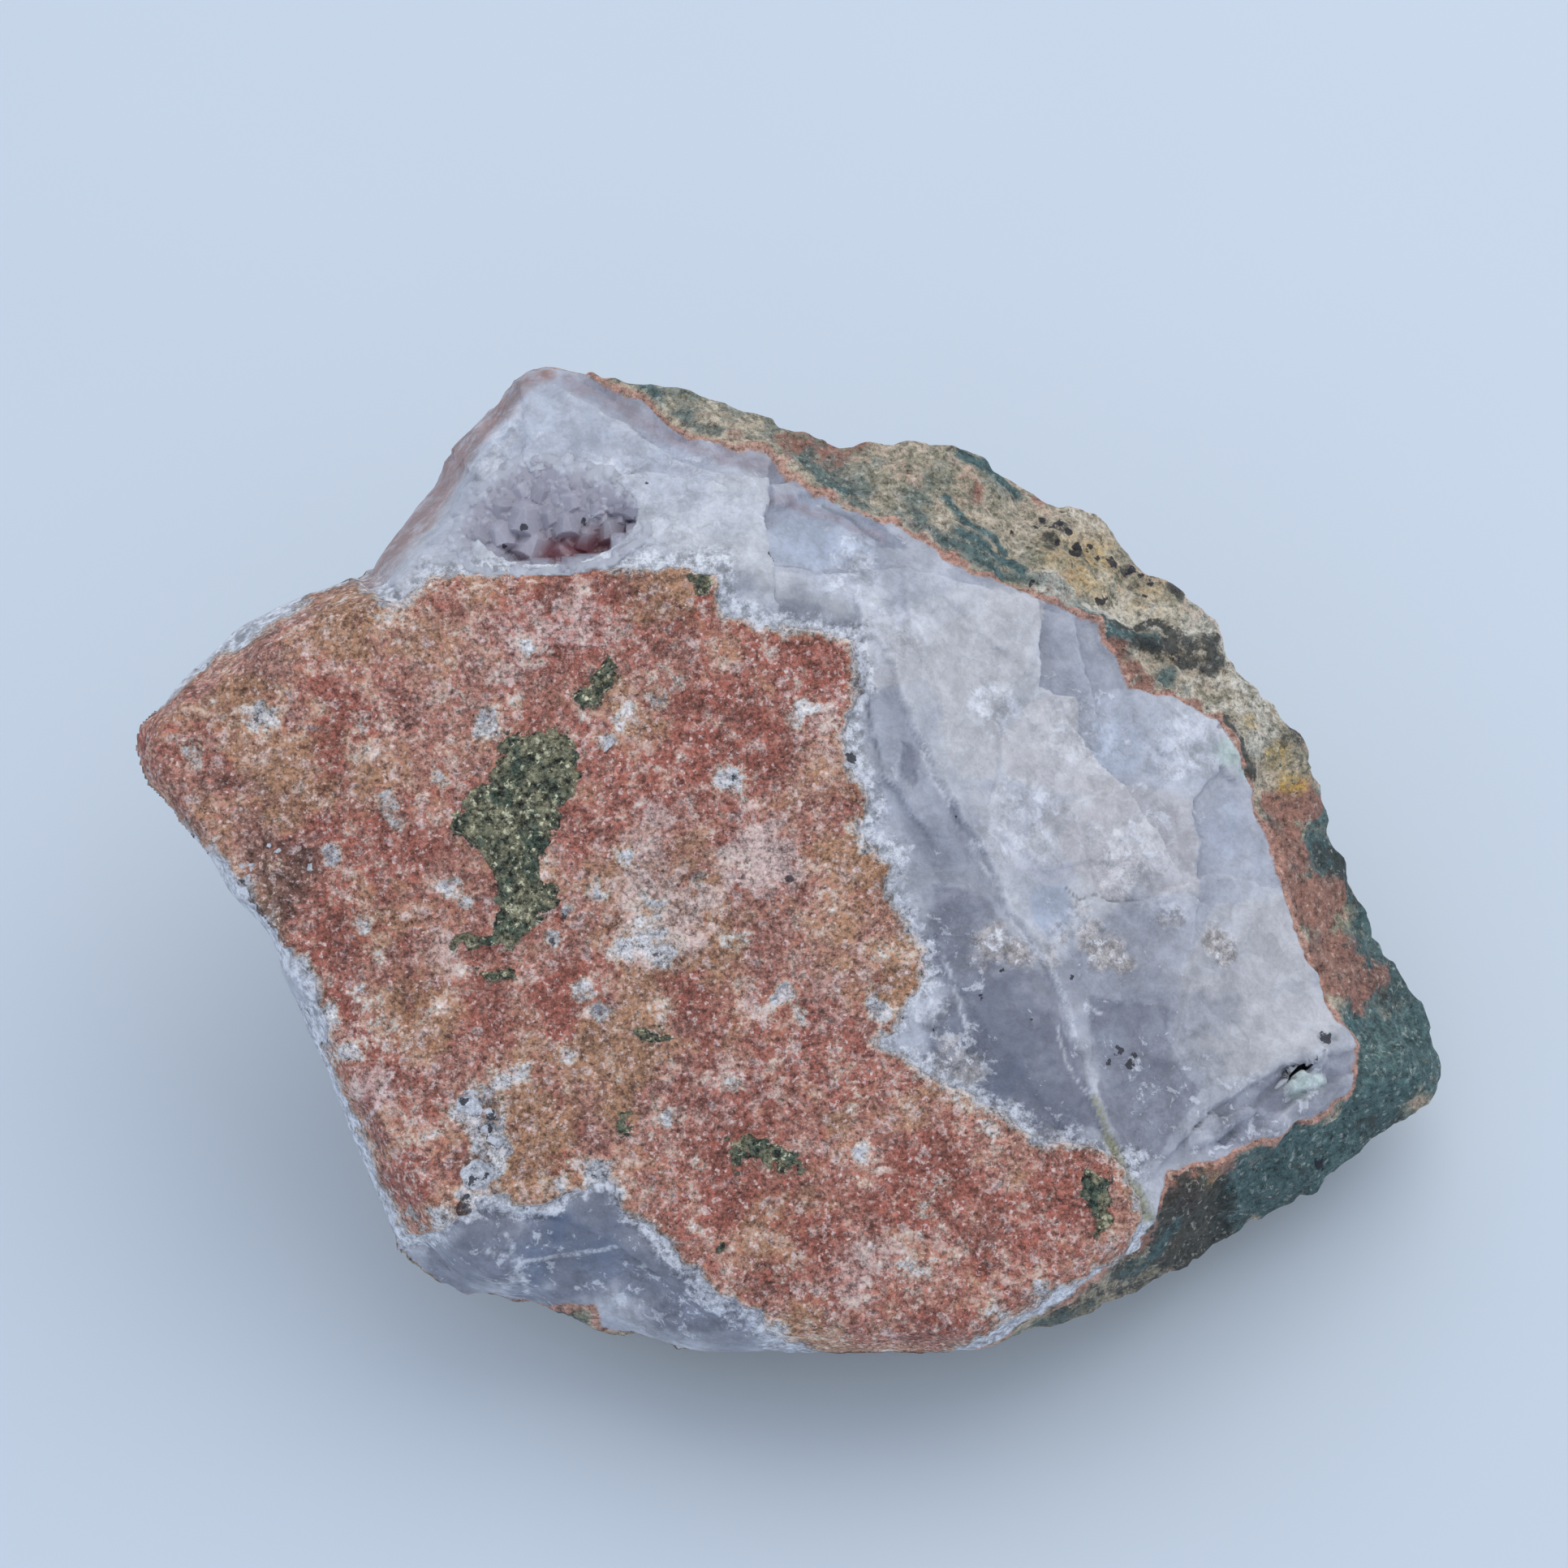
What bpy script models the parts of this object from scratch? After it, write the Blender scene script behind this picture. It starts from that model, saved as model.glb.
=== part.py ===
"""A broken chunk of vein agate with a small amethyst druse, resting on its foot.

The chunk is laid out on its flat crust face: x runs to the right, y up the face and z out
of it, in millimetres. A sighted point is given by where it shows on the plane of the crust
face to an eye square above it, and by its height from that plane. The whole chunk then
leans back to stand on the ground.
"""

import math

import bmesh
import bpy
from mathutils import Euler, Matrix, Vector, noise

OBJECT_NAME = "amethyst_agate_specimen"
MM = 0.001

# How the chunk stands, in degrees and millimetres.
FACE_TILT = 35.0
FACE_HEIGHT = 53.0
SIGHT_HEIGHT = 600.0
OUTLINE_CENTRE = (0.0, -8.0)
OUTLINE_SECTORS = 160
INNER_POINT = (0.0, -8.0, -25.0)

# The chunk's edge all round, as sighted, clockwise from the left tip.
OUTLINE = (
    (-64.8, 2.3), (-63.8, 6.1), (-60.6, 9.8), (-53.7, 16.2), (-45.6, 19.7), (-43.2, 20.5),
    (-41.8, 20.2), (-40.0, 23.1), (-34.4, 30.3), (-34.0, 32.3), (-29.5, 37.2), (-25.5, 41.2),
    (-22.3, 41.6), (-19.0, 40.2), (-9.4, 39.4), (-5.3, 37.6), (2.7, 34.6), (7.6, 33.7),
    (12.4, 34.0), (18.1, 33.4), (22.9, 31.1), (26.9, 27.9), (30.2, 28.1), (33.4, 24.7),
    (37.4, 20.2), (39.8, 19.7), (43.1, 15.8), (45.5, 11.0), (50.3, 6.5), (52.3, 3.7),
    (52.9, -1.1), (56.4, -8.4), (56.9, -11.6), (62.8, -20.9), (65.9, -27.7), (65.2, -30.6),
    (62.4, -33.0), (54.4, -39.0), (47.9, -43.1), (35.0, -50.7), (26.1, -54.4), (18.9, -56.4),
    (2.7, -56.6), (-9.4, -56.6), (-16.6, -54.0), (-31.9, -51.1), (-36.8, -47.5),
    (-39.2, -44.3), (-42.4, -36.6), (-48.1, -22.9), (-50.5, -18.1), (-50.9, -14.8),
    (-54.5, -11.6), (-57.7, -6.8), (-61.8, -1.5),
)

# Broken and weathered faces that can be seen, each through three sighted points.
SEEN_FACES = {
    "crust": ("crust", (-40.0, 0.0, 0.0), (20.0, 10.0, 0.0), (0.0, -40.0, 0.0)),
    "bright_break": ("agate", (7.0, 15.5, -0.3), (36.0, -42.0, -0.5), (52.0, -8.0, -20.0)),
    "sky_break": ("agate", (-35.0, 20.6, -0.2), (-6.0, 21.6, -0.2), (-24.0, 41.5, -15.0)),
    "blue_break": ("sunk_agate", (-1.7, 21.5, -1.2), (-1.7, 32.5, -9.0), (27.0, 17.8, -11.0)),
    "rind_top": ("rock", (-2.1, 32.3, -8.7), (26.9, 17.8, -10.9), (18.0, 33.4, -26.0)),
    "rind_shoulder": ("rock", (31.0, 15.2, -14.5), (46.0, 2.0, -19.5), (43.1, 15.8, -32.0)),
    "rind_right": ("rock", (46.7, -2.7, -18.4), (56.9, -27.7, -17.0), (62.0, -20.0, -30.0)),
    "rind_low": ("rock", (36.6, -43.0, -1.0), (56.9, -28.5, -16.8), (50.0, -41.8, -26.0)),
    "low_right": ("rock", (36.0, -43.5, 0.0), (19.0, -55.2, 0.0), (33.0, -52.0, -12.0)),
    "low_edge": ("crust", (19.0, -55.4, 0.0), (0.0, -54.5, 0.0), (8.0, -56.6, -6.0)),
    "blue_chamfer": ("agate", (-33.0, -40.5, 0.0), (-5.0, -51.0, 0.0), (-18.0, -54.0, -6.0)),
    "left_low_side": ("agate", (-52.0, -12.0, 0.0), (-39.5, -43.5, 0.0), (-45.5, -32.0, -9.0)),
    "left_tip_side": ("agate", (-64.5, 3.0, 0.0), (-52.0, -13.0, 0.0), (-60.0, -6.0, -9.0)),
}

# The front slab and the mass behind it end on the left in different faces.
SLAB_SIDE = ("agate", (-63.5, 6.2, 0.0), (-43.0, 20.3, 0.0), (-54.5, 16.8, -9.0))
REAR_SIDE = ("agate", (-39.2, 20.2, -1.0), (-23.1, 40.0, -14.0), (-34.4, 30.3, -14.0))

# Hidden faces, each through three points of the standing chunk measured from the ground.
HIDDEN_FACES = {
    "foot": ("rock", (0.0, 0.0, -2.0), (10.0, 0.0, -2.0), (0.0, 10.0, -2.0)),
    "back_wall": ("rock", (-24.0, 43.0, 62.0), (18.0, 43.5, 52.0), (0.0, 47.0, 28.0)),
    "back_low": ("rock", (-20.0, 46.5, 22.0), (30.0, 46.5, 22.0), (5.0, 21.0, -2.0)),
    "back_right": ("rock", (34.0, 41.0, 44.0), (67.0, 1.0, 12.0), (47.0, 25.0, 8.0)),
    "back_right_low": ("rock", (67.0, 1.0, 12.0), (38.0, 38.0, 15.0), (29.0, 16.0, -2.0)),
    "right_low": ("rock", (68.0, -8.0, 12.0), (48.0, -26.0, 8.0), (31.0, -6.0, -2.0)),
    "front_low": ("rock", (27.0, -42.0, 13.0), (-10.0, -44.0, 12.0), (5.0, -9.0, -2.0)),
    "left_front_low": ("rock", (-38.0, -39.0, 20.0), (-53.0, -10.0, 39.0), (-12.0, -5.0, -2.0)),
    "left_back_low": ("rock", (-67.0, 6.0, 47.0), (-45.0, 30.0, 48.0), (-13.0, 14.0, -2.0)),
}

# Each kind of face: how far it stands out, then wavelength and height of its broad and fine relief.
RELIEF = {
    "crust": (0.0, (26.0, 0.8), (6.0, 0.35)),
    "agate": (0.0, (20.0, 0.9), (7.0, 0.3)),
    "sunk_agate": (-0.8, (20.0, 0.9), (7.0, 0.3)),
    "rock": (0.0, (17.0, 1.7), (5.0, 0.7)),
}
RELIEF_BLEND = 1.5
RELIEF_SEED = Vector((3.7, 11.2, 5.9))
BLOCK_SIZE = 400.0
GRAIN = 1.2
STONE_TRIANGLES = 5200

# Hollows in the stone: middle, half sizes and turn about the face's z, as sighted.
NOTCH = ((-38.6, 22.4, 0.4), (4.6, 5.4, 4.6), 25.0)
RIND_HOLLOW = ((39.6, 12.4, -17.0), (5.0, 3.0, 4.4), -12.0)
CREVICE = ((48.4, -29.4, -15.2), (8.2, 1.5, 4.2), 32.0)

# The druse pocket opens in the sky break and sinks square to it.
POCKET_MIDDLE = (-21.8, 25.2, -7.4)
POCKET_HALF = (11.2, 8.2, 9.8)
POCKET_LEAN = 36.5
DRUSE_GAP = 0.35
DRUSE_LINING = 1.2
DRUSE_BELOW_BREAK = 1.2
CRYSTAL_SPACING = 2.9
CRYSTAL_RADIUS = (1.2, 2.1)
CRYSTAL_TIP_RATIO = 1.25
CRYSTAL_LEAN = 16.0
CRYSTAL_SEED = 5.1

# Colour, roughness and metallic value of each piece.
STONE_LOOK = ((0.56, 0.36, 0.28), 0.62, 0.0)
DRUSE_LOOK = ((0.50, 0.42, 0.50), 0.22, 0.0)


def sighted(point):
    """The place in the chunk's own axes of a point given as it is sighted."""
    x, y, z = point
    nearer = (SIGHT_HEIGHT - z) / SIGHT_HEIGHT
    return Vector((x * nearer, y * nearer, z)) * MM


def sight(place):
    """Where a place of the chunk shows on the crust plane."""
    away = SIGHT_HEIGHT * MM
    return Vector((place.x, place.y)) * away / (away - place.z)


def standing_matrix():
    lean = Matrix.Rotation(math.radians(FACE_TILT), 4, "X")
    return Matrix.Translation((0.0, 0.0, FACE_HEIGHT * MM)) @ lean


def standing(point):
    """The place in the chunk's own axes of a point measured on the standing chunk."""
    return standing_matrix().inverted() @ (Vector(point) * MM)


def make_material(name, look):
    colour, roughness, metallic = look
    material = bpy.data.materials.new(name)
    material.use_nodes = True
    shader = material.node_tree.nodes["Principled BSDF"]
    shader.inputs["Base Color"].default_value = (*colour, 1.0)
    shader.inputs["Roughness"].default_value = roughness
    shader.inputs["Metallic"].default_value = metallic
    return material


def new_object(name, mesh, collection):
    obj = bpy.data.objects.new(name, mesh)
    collection.objects.link(obj)
    return obj


def mesh_from(bm, name):
    mesh = bpy.data.meshes.new(name)
    bm.to_mesh(mesh)
    bm.free()
    return mesh


def face_planes():
    """Kind, point and outward normal of every face that both blocks share."""
    seen = [face_plane(face, sighted) for face in SEEN_FACES.values()]
    return seen + [face_plane(face, standing) for face in HIDDEN_FACES.values()]


def face_plane(face, placed):
    """A face's kind, a point on it and the way it looks, from its three points."""
    kind, *points = face
    return (kind, *plane_through([placed(point) for point in points]))


def plane_through(points):
    a, b, c = points
    normal = (b - a).cross(c - a).normalized()
    if normal.dot(sighted(INNER_POINT) - a) > 0.0:
        normal.negate()
    return a, normal


def cut_block(planes):
    """A big block with everything outside the planes cut away."""
    bm = bmesh.new()
    bmesh.ops.create_cube(bm, size=BLOCK_SIZE * MM)
    for _, point, normal in planes:
        cut_flat(bm, point, normal)
    return bm


def cut_flat(bm, point, normal):
    everything = bm.verts[:] + bm.edges[:] + bm.faces[:]
    cut = bmesh.ops.bisect_plane(
        bm, geom=everything, plane_co=point, plane_no=normal, clear_outer=True
    )
    rim = [item for item in cut["geom_cut"] if isinstance(item, bmesh.types.BMEdge)]
    bmesh.ops.contextual_create(bm, geom=rim)


def reach(outline, direction, centre):
    """How far the outline lies from the centre in a direction."""
    furthest = 0.0
    across = Vector((-direction.y, direction.x))
    for a, b in zip(outline, outline[1:] + outline[:1]):
        side_a = (a - centre).dot(across)
        side_b = (b - centre).dot(across)
        if side_a * side_b > 0.0 or side_a == side_b:
            continue
        crossing = a.lerp(b, side_a / (side_a - side_b)) - centre
        furthest = max(furthest, crossing.dot(direction))
    return furthest


def fit_to_outline(mesh):
    """Draws the edge of the chunk in or out to the outline, and leaves its middle alone."""
    centre = Vector(OUTLINE_CENTRE) * MM
    outline = [Vector(point) * MM for point in OUTLINE]
    seen = []
    filled = [0.0] * OUTLINE_SECTORS
    for vert in mesh.vertices:
        shown = sight(vert.co) - centre
        turn = (math.atan2(shown.y, shown.x) / math.tau * OUTLINE_SECTORS) % OUTLINE_SECTORS
        share = shown.length / reach(outline, shown.normalized(), centre)
        seen.append((shown, turn, share))
        sector = int(turn)
        filled[sector] = max(filled[sector], share)
    for vert, (shown, turn, share) in zip(mesh.vertices, seen):
        sector = int(turn - 0.5) % OUTLINE_SECTORS
        step = (turn - 0.5) % 1.0
        edge = filled[sector] * (1.0 - step) + filled[(sector + 1) % OUTLINE_SECTORS] * step
        pull = 1.0 + (1.0 / edge - 1.0) * (share / edge) ** 4
        place_at_sight(vert, centre + shown * min(pull, 1.0 / share))


def place_at_sight(vert, shown):
    nearer = (SIGHT_HEIGHT * MM - vert.co.z) / (SIGHT_HEIGHT * MM)
    vert.co.x = shown.x * nearer
    vert.co.y = shown.y * nearer


def relief_at(place, kind):
    height, *layers = RELIEF[kind]
    for wavelength, size in layers:
        height += size * noise.noise(place / (wavelength * MM) + RELIEF_SEED)
    return height


def roughen(mesh, planes):
    """Moves each point in or out by the relief of the faces nearest to it."""
    moved = []
    for vert in mesh.vertices:
        depths = [(abs((vert.co - point).dot(normal)) / MM, kind) for kind, point, normal in planes]
        nearest = min(depths)[0]
        total = 0.0
        height = 0.0
        for depth, kind in depths:
            weight = math.exp(-(depth - nearest) / RELIEF_BLEND)
            if weight > 0.02:
                total += weight
                height += weight * relief_at(vert.co, kind)
        moved.append(vert.co + vert.normal * (height / total) * MM)
    for vert, place in zip(mesh.vertices, moved):
        vert.co = place


def evaluated_mesh(obj):
    graph = bpy.context.evaluated_depsgraph_get()
    return bpy.data.meshes.new_from_object(obj.evaluated_get(graph))


def rounded_hollow(name, middle, half, turn, lean, cutters, frame):
    """A stretched ball that marks out a hollow."""
    bm = bmesh.new()
    bmesh.ops.create_uvsphere(bm, u_segments=20, v_segments=12, radius=1.0)
    stretch = Matrix.Diagonal((*[size * MM for size in half], 1.0))
    turned = Euler((math.radians(lean), 0.0, math.radians(turn))).to_matrix().to_4x4()
    bmesh.ops.transform(bm, matrix=turned @ stretch, verts=bm.verts)
    cutter = new_object(name, mesh_from(bm, name), cutters)
    cutter.location = sighted(middle)
    cutter.parent = frame
    cutter.hide_render = True
    cutter.display_type = "WIRE"
    return cutter


def ground_cutter(cutters):
    bm = bmesh.new()
    bmesh.ops.create_cube(bm, size=BLOCK_SIZE * MM)
    cutter = new_object("ground_cutter", mesh_from(bm, "ground_cutter"), cutters)
    cutter.location.z = -BLOCK_SIZE * MM / 2.0
    cutter.hide_render = True
    cutter.display_type = "WIRE"
    return cutter


def cut_away(obj, cutter, operation="DIFFERENCE"):
    modifier = obj.modifiers.new(cutter.name, "BOOLEAN")
    modifier.operation = operation
    modifier.object = cutter
    return modifier


def make_rough_stone(parts, frame):
    """The slab and the mass behind it as one rough stone, before any hollow is cut."""
    shared = face_planes()
    sides = [face_plane(side, sighted) for side in (SLAB_SIDE, REAR_SIDE)]
    blocks = [cut_block(shared + [side]) for side in sides]
    both = blocks[0]
    both.from_mesh(mesh_from(blocks[1], "rear_block"))
    stone = new_object("agate_stone", mesh_from(both, "agate_stone"), parts)
    stone.parent = frame
    remesh = stone.modifiers.new("grain", "REMESH")
    remesh.mode = "VOXEL"
    remesh.voxel_size = GRAIN * MM
    mesh = evaluated_mesh(stone)
    stone.modifiers.clear()
    stone.data = mesh
    fit_to_outline(mesh)
    mesh.update()
    roughen(mesh, shared + sides)
    fit_to_outline(mesh)
    return stone


def make_stone(parts, cutters, frame):
    stone = make_rough_stone(parts, frame)
    stone.data.materials.clear()
    stone.data.materials.append(make_material("banded_agate", STONE_LOOK))
    thin = stone.modifiers.new("fewer_faces", "DECIMATE")
    thin.ratio = STONE_TRIANGLES / (2.0 * len(stone.data.polygons))
    pocket = rounded_hollow("pocket", POCKET_MIDDLE, POCKET_HALF, 0.0, -POCKET_LEAN, cutters, frame)
    cut_away(stone, pocket)
    for name, (middle, half, turn) in (
        ("notch", NOTCH), ("rind_hollow", RIND_HOLLOW), ("crevice", CREVICE)
    ):
        cut_away(stone, rounded_hollow(name, middle, half, turn, 0.0, cutters, frame))
    cut_away(stone, ground_cutter(cutters))
    return stone


def pocket_matrix():
    lean = Matrix.Rotation(math.radians(-POCKET_LEAN), 4, "X")
    return Matrix.Translation(sighted(POCKET_MIDDLE)) @ lean


def add_crystal(bm, radius, length, placing):
    """A six-sided crystal with a pointed end, its root at the placing's origin."""
    tip = radius * CRYSTAL_TIP_RATIO
    shaft = bmesh.ops.create_cone(
        bm, cap_ends=True, segments=6, radius1=radius * 0.82, radius2=radius, depth=length
    )["verts"]
    end = [vert for vert in shaft if vert.co.z > 0.0]
    cap = next(face for face in end[0].link_faces if len(face.verts) == 6)
    point = bmesh.ops.poke(bm, faces=[cap])["verts"][0]
    point.co.z += tip
    bmesh.ops.transform(
        bm, matrix=placing @ Matrix.Translation((0.0, 0.0, length / 2.0)), verts=[*shaft, point]
    )


def crystal_roots():
    """Even places on the pocket's lining below its rim, spiralling from its bottom up."""
    rim_middle, rim_normal = rim_in_pocket()
    lining = [size - DRUSE_GAP - DRUSE_LINING for size in POCKET_HALF]
    area = 4.0 * math.pi * (math.prod(lining) ** (2.0 / 3.0))
    count = int(area / CRYSTAL_SPACING**2)
    golden = math.pi * (3.0 - math.sqrt(5.0))
    for index in range(count):
        height = -1.0 + 2.0 * (index + 0.5) / count
        around = math.sqrt(1.0 - height**2)
        angle = golden * index
        unit = Vector((around * math.cos(angle), around * math.sin(angle), height))
        root = Vector(a * b for a, b in zip(unit, lining)) * MM
        inward = -Vector(a / b for a, b in zip(unit, lining)).normalized()
        if (root - rim_middle).dot(rim_normal) < 0.0:
            yield index, root, inward


def make_crystals():
    bm = bmesh.new()
    small, large = CRYSTAL_RADIUS
    for index, root, inward in crystal_roots():
        draw = noise.cell_vector(Vector((index + 0.5, CRYSTAL_SEED, 0.0)))
        lean = noise.cell_vector(Vector((index + 0.5, CRYSTAL_SEED, 4.0))) - Vector((0.5, 0.5, 0.5))
        axis = (inward + lean * 2.0 * math.tan(math.radians(CRYSTAL_LEAN))).normalized()
        radius = (small + (large - small) * draw.x**1.5) * MM
        length = (DRUSE_LINING + 0.3 + 0.9 * draw.y) * MM
        turned = axis.to_track_quat("Z", "Y").to_matrix().to_4x4()
        turned @= Matrix.Rotation(draw.z * math.pi, 4, "Z")
        placing = Matrix.Translation(root - axis * DRUSE_LINING * MM * 0.8) @ turned
        add_crystal(bm, radius, length, placing)
    return bm


def lining_block(half_sizes, name, segments=(20, 12)):
    bm = bmesh.new()
    bmesh.ops.create_uvsphere(bm, u_segments=segments[0], v_segments=segments[1], radius=1.0)
    bmesh.ops.transform(bm, matrix=Matrix.Diagonal((*[size * MM for size in half_sizes], 1.0)), verts=bm.verts)
    return mesh_from(bm, name)


def make_druse(parts, cutters, frame):
    """One crust of crystals that lines the pocket and stops just under the break."""
    outer = [size - DRUSE_GAP for size in POCKET_HALF]
    inner = [size - DRUSE_GAP - DRUSE_LINING for size in POCKET_HALF]
    thick = [size + 3.0 for size in POCKET_HALF]
    druse = new_object("amethyst_druse", lining_block(thick, "amethyst_druse"), parts)
    hollow = new_object("druse_hollow", lining_block(inner, "druse_hollow"), cutters)
    crystals = new_object("druse_crystals", mesh_from(make_crystals(), "druse_crystals"), cutters)
    bound = new_object("druse_bound", lining_block(outer, "druse_bound"), cutters)
    above = new_object("druse_rim", rim_block(), cutters)
    for cutter in (hollow, crystals, bound, above):
        cutter.hide_render = True
        cutter.display_type = "WIRE"
    for piece in (druse, hollow, crystals, bound, above):
        piece.matrix_local = pocket_matrix()
        piece.parent = frame
    cut_away(druse, hollow)
    cut_away(druse, above)
    grown = cut_away(druse, crystals, "UNION")
    grown.use_self = True
    cut_away(druse, bound, "INTERSECT")
    druse.data.materials.append(make_material("amethyst_quartz", DRUSE_LOOK))
    return druse


def rim_in_pocket():
    """A point and the normal of the druse's rim, just under the break, in the pocket's axes."""
    _, point, normal = face_plane(SEEN_FACES["sky_break"], sighted)
    to_pocket = pocket_matrix().inverted()
    rim_normal = to_pocket.to_3x3() @ normal
    return to_pocket @ point - rim_normal * DRUSE_BELOW_BREAK * MM, rim_normal


def rim_block():
    """A block that holds everything above the druse's rim."""
    middle, normal = rim_in_pocket()
    turned = normal.to_track_quat("Z", "Y").to_matrix().to_4x4()
    bm = bmesh.new()
    bmesh.ops.create_cube(bm, size=BLOCK_SIZE * MM / 4.0)
    lift = Matrix.Translation((0.0, 0.0, BLOCK_SIZE * MM / 8.0))
    bmesh.ops.transform(bm, matrix=Matrix.Translation(middle) @ turned @ lift, verts=bm.verts)
    return mesh_from(bm, "druse_rim")


def clear_scene():
    for obj in list(bpy.data.objects):
        bpy.data.objects.remove(obj)


def new_collection(name):
    collection = bpy.data.collections.new(name)
    bpy.context.scene.collection.children.link(collection)
    return collection


def centre_on_origin(frame, stone):
    """Moves the standing chunk so that the middle of its box is over the origin."""
    graph = bpy.context.evaluated_depsgraph_get()
    solid = stone.evaluated_get(graph)
    corners = [solid.matrix_world @ vert.co for vert in solid.data.vertices]
    for axis in (0, 1):
        values = [corner[axis] for corner in corners]
        frame.location[axis] -= (min(values) + max(values)) / 2.0


def main():
    clear_scene()
    parts = new_collection(OBJECT_NAME)
    cutters = new_collection("cutters")
    frame = bpy.data.objects.new("standing_frame", None)
    parts.objects.link(frame)
    frame.matrix_world = standing_matrix()
    stone = make_stone(parts, cutters, frame)
    make_druse(parts, cutters, frame)
    centre_on_origin(frame, stone)
    bpy.context.view_layer.update()
    print("standing frame at", [round(value / MM, 3) for value in frame.location], "mm")


main()
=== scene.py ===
import itertools
import math

import bmesh
import bpy
import numpy as np
from mathutils import Matrix, Vector, noise
from mathutils.bvhtree import BVHTree


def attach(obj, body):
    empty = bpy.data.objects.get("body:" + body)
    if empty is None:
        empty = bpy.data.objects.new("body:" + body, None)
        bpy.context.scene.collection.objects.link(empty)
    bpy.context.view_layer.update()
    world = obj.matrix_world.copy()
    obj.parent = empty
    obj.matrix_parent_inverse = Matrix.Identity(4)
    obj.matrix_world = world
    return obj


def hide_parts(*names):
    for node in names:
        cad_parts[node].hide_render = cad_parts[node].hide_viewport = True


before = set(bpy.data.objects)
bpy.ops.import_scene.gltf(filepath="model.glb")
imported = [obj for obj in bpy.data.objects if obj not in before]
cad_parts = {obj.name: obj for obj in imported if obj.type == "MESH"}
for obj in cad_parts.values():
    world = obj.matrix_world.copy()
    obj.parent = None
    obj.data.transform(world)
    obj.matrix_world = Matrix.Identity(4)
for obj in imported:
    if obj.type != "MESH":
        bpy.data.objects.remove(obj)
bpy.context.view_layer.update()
print("frame loaded:", sorted(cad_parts))

mm = 0.001

# How the chunk stands and how it is seen: lengths in mm, angles in degrees, photo places in pixels
stance = {
    "faceTilt": 35.0,  # the crust face leans back this far
    "faceMiddle": (-1.688, -1.391, 53.0),  # where the middle of the crust face stands in the frame
    "sightHeight": 600.0,  # the eye stands this far above the crust face
    "photoMiddle": 966.0,
    "pixelsPerMm": 12.4,
    "photoWidth": 1932.0,
}


def standingMatrix():
    turn = Matrix.Rotation(math.radians(stance["faceTilt"]), 4, "X")
    return Matrix.Translation(Vector(stance["faceMiddle"]) * mm) @ turn


def fromPhoto(points):
    # photo pixels to mm on the plane of the crust face, x right and y up
    places = np.array(points, float).reshape(-1, 2) - stance["photoMiddle"]
    return places * (1.0, -1.0) / stance["pixelsPerMm"]


def sighted(point):
    # x and y are given as the eye sees them on the plane of the crust face
    x, y, z = point
    nearer = (stance["sightHeight"] - z) / stance["sightHeight"]
    return Vector((x * nearer, y * nearer, z))


def standing(point):
    # a point given on the standing chunk, brought to the chunk's own axes (both in mm)
    turn = Matrix.Rotation(math.radians(stance["faceTilt"]), 3, "X")
    return turn.inverted() @ (Vector(point) - Vector((0.0, 0.0, stance["faceMiddle"][2])))


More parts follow.
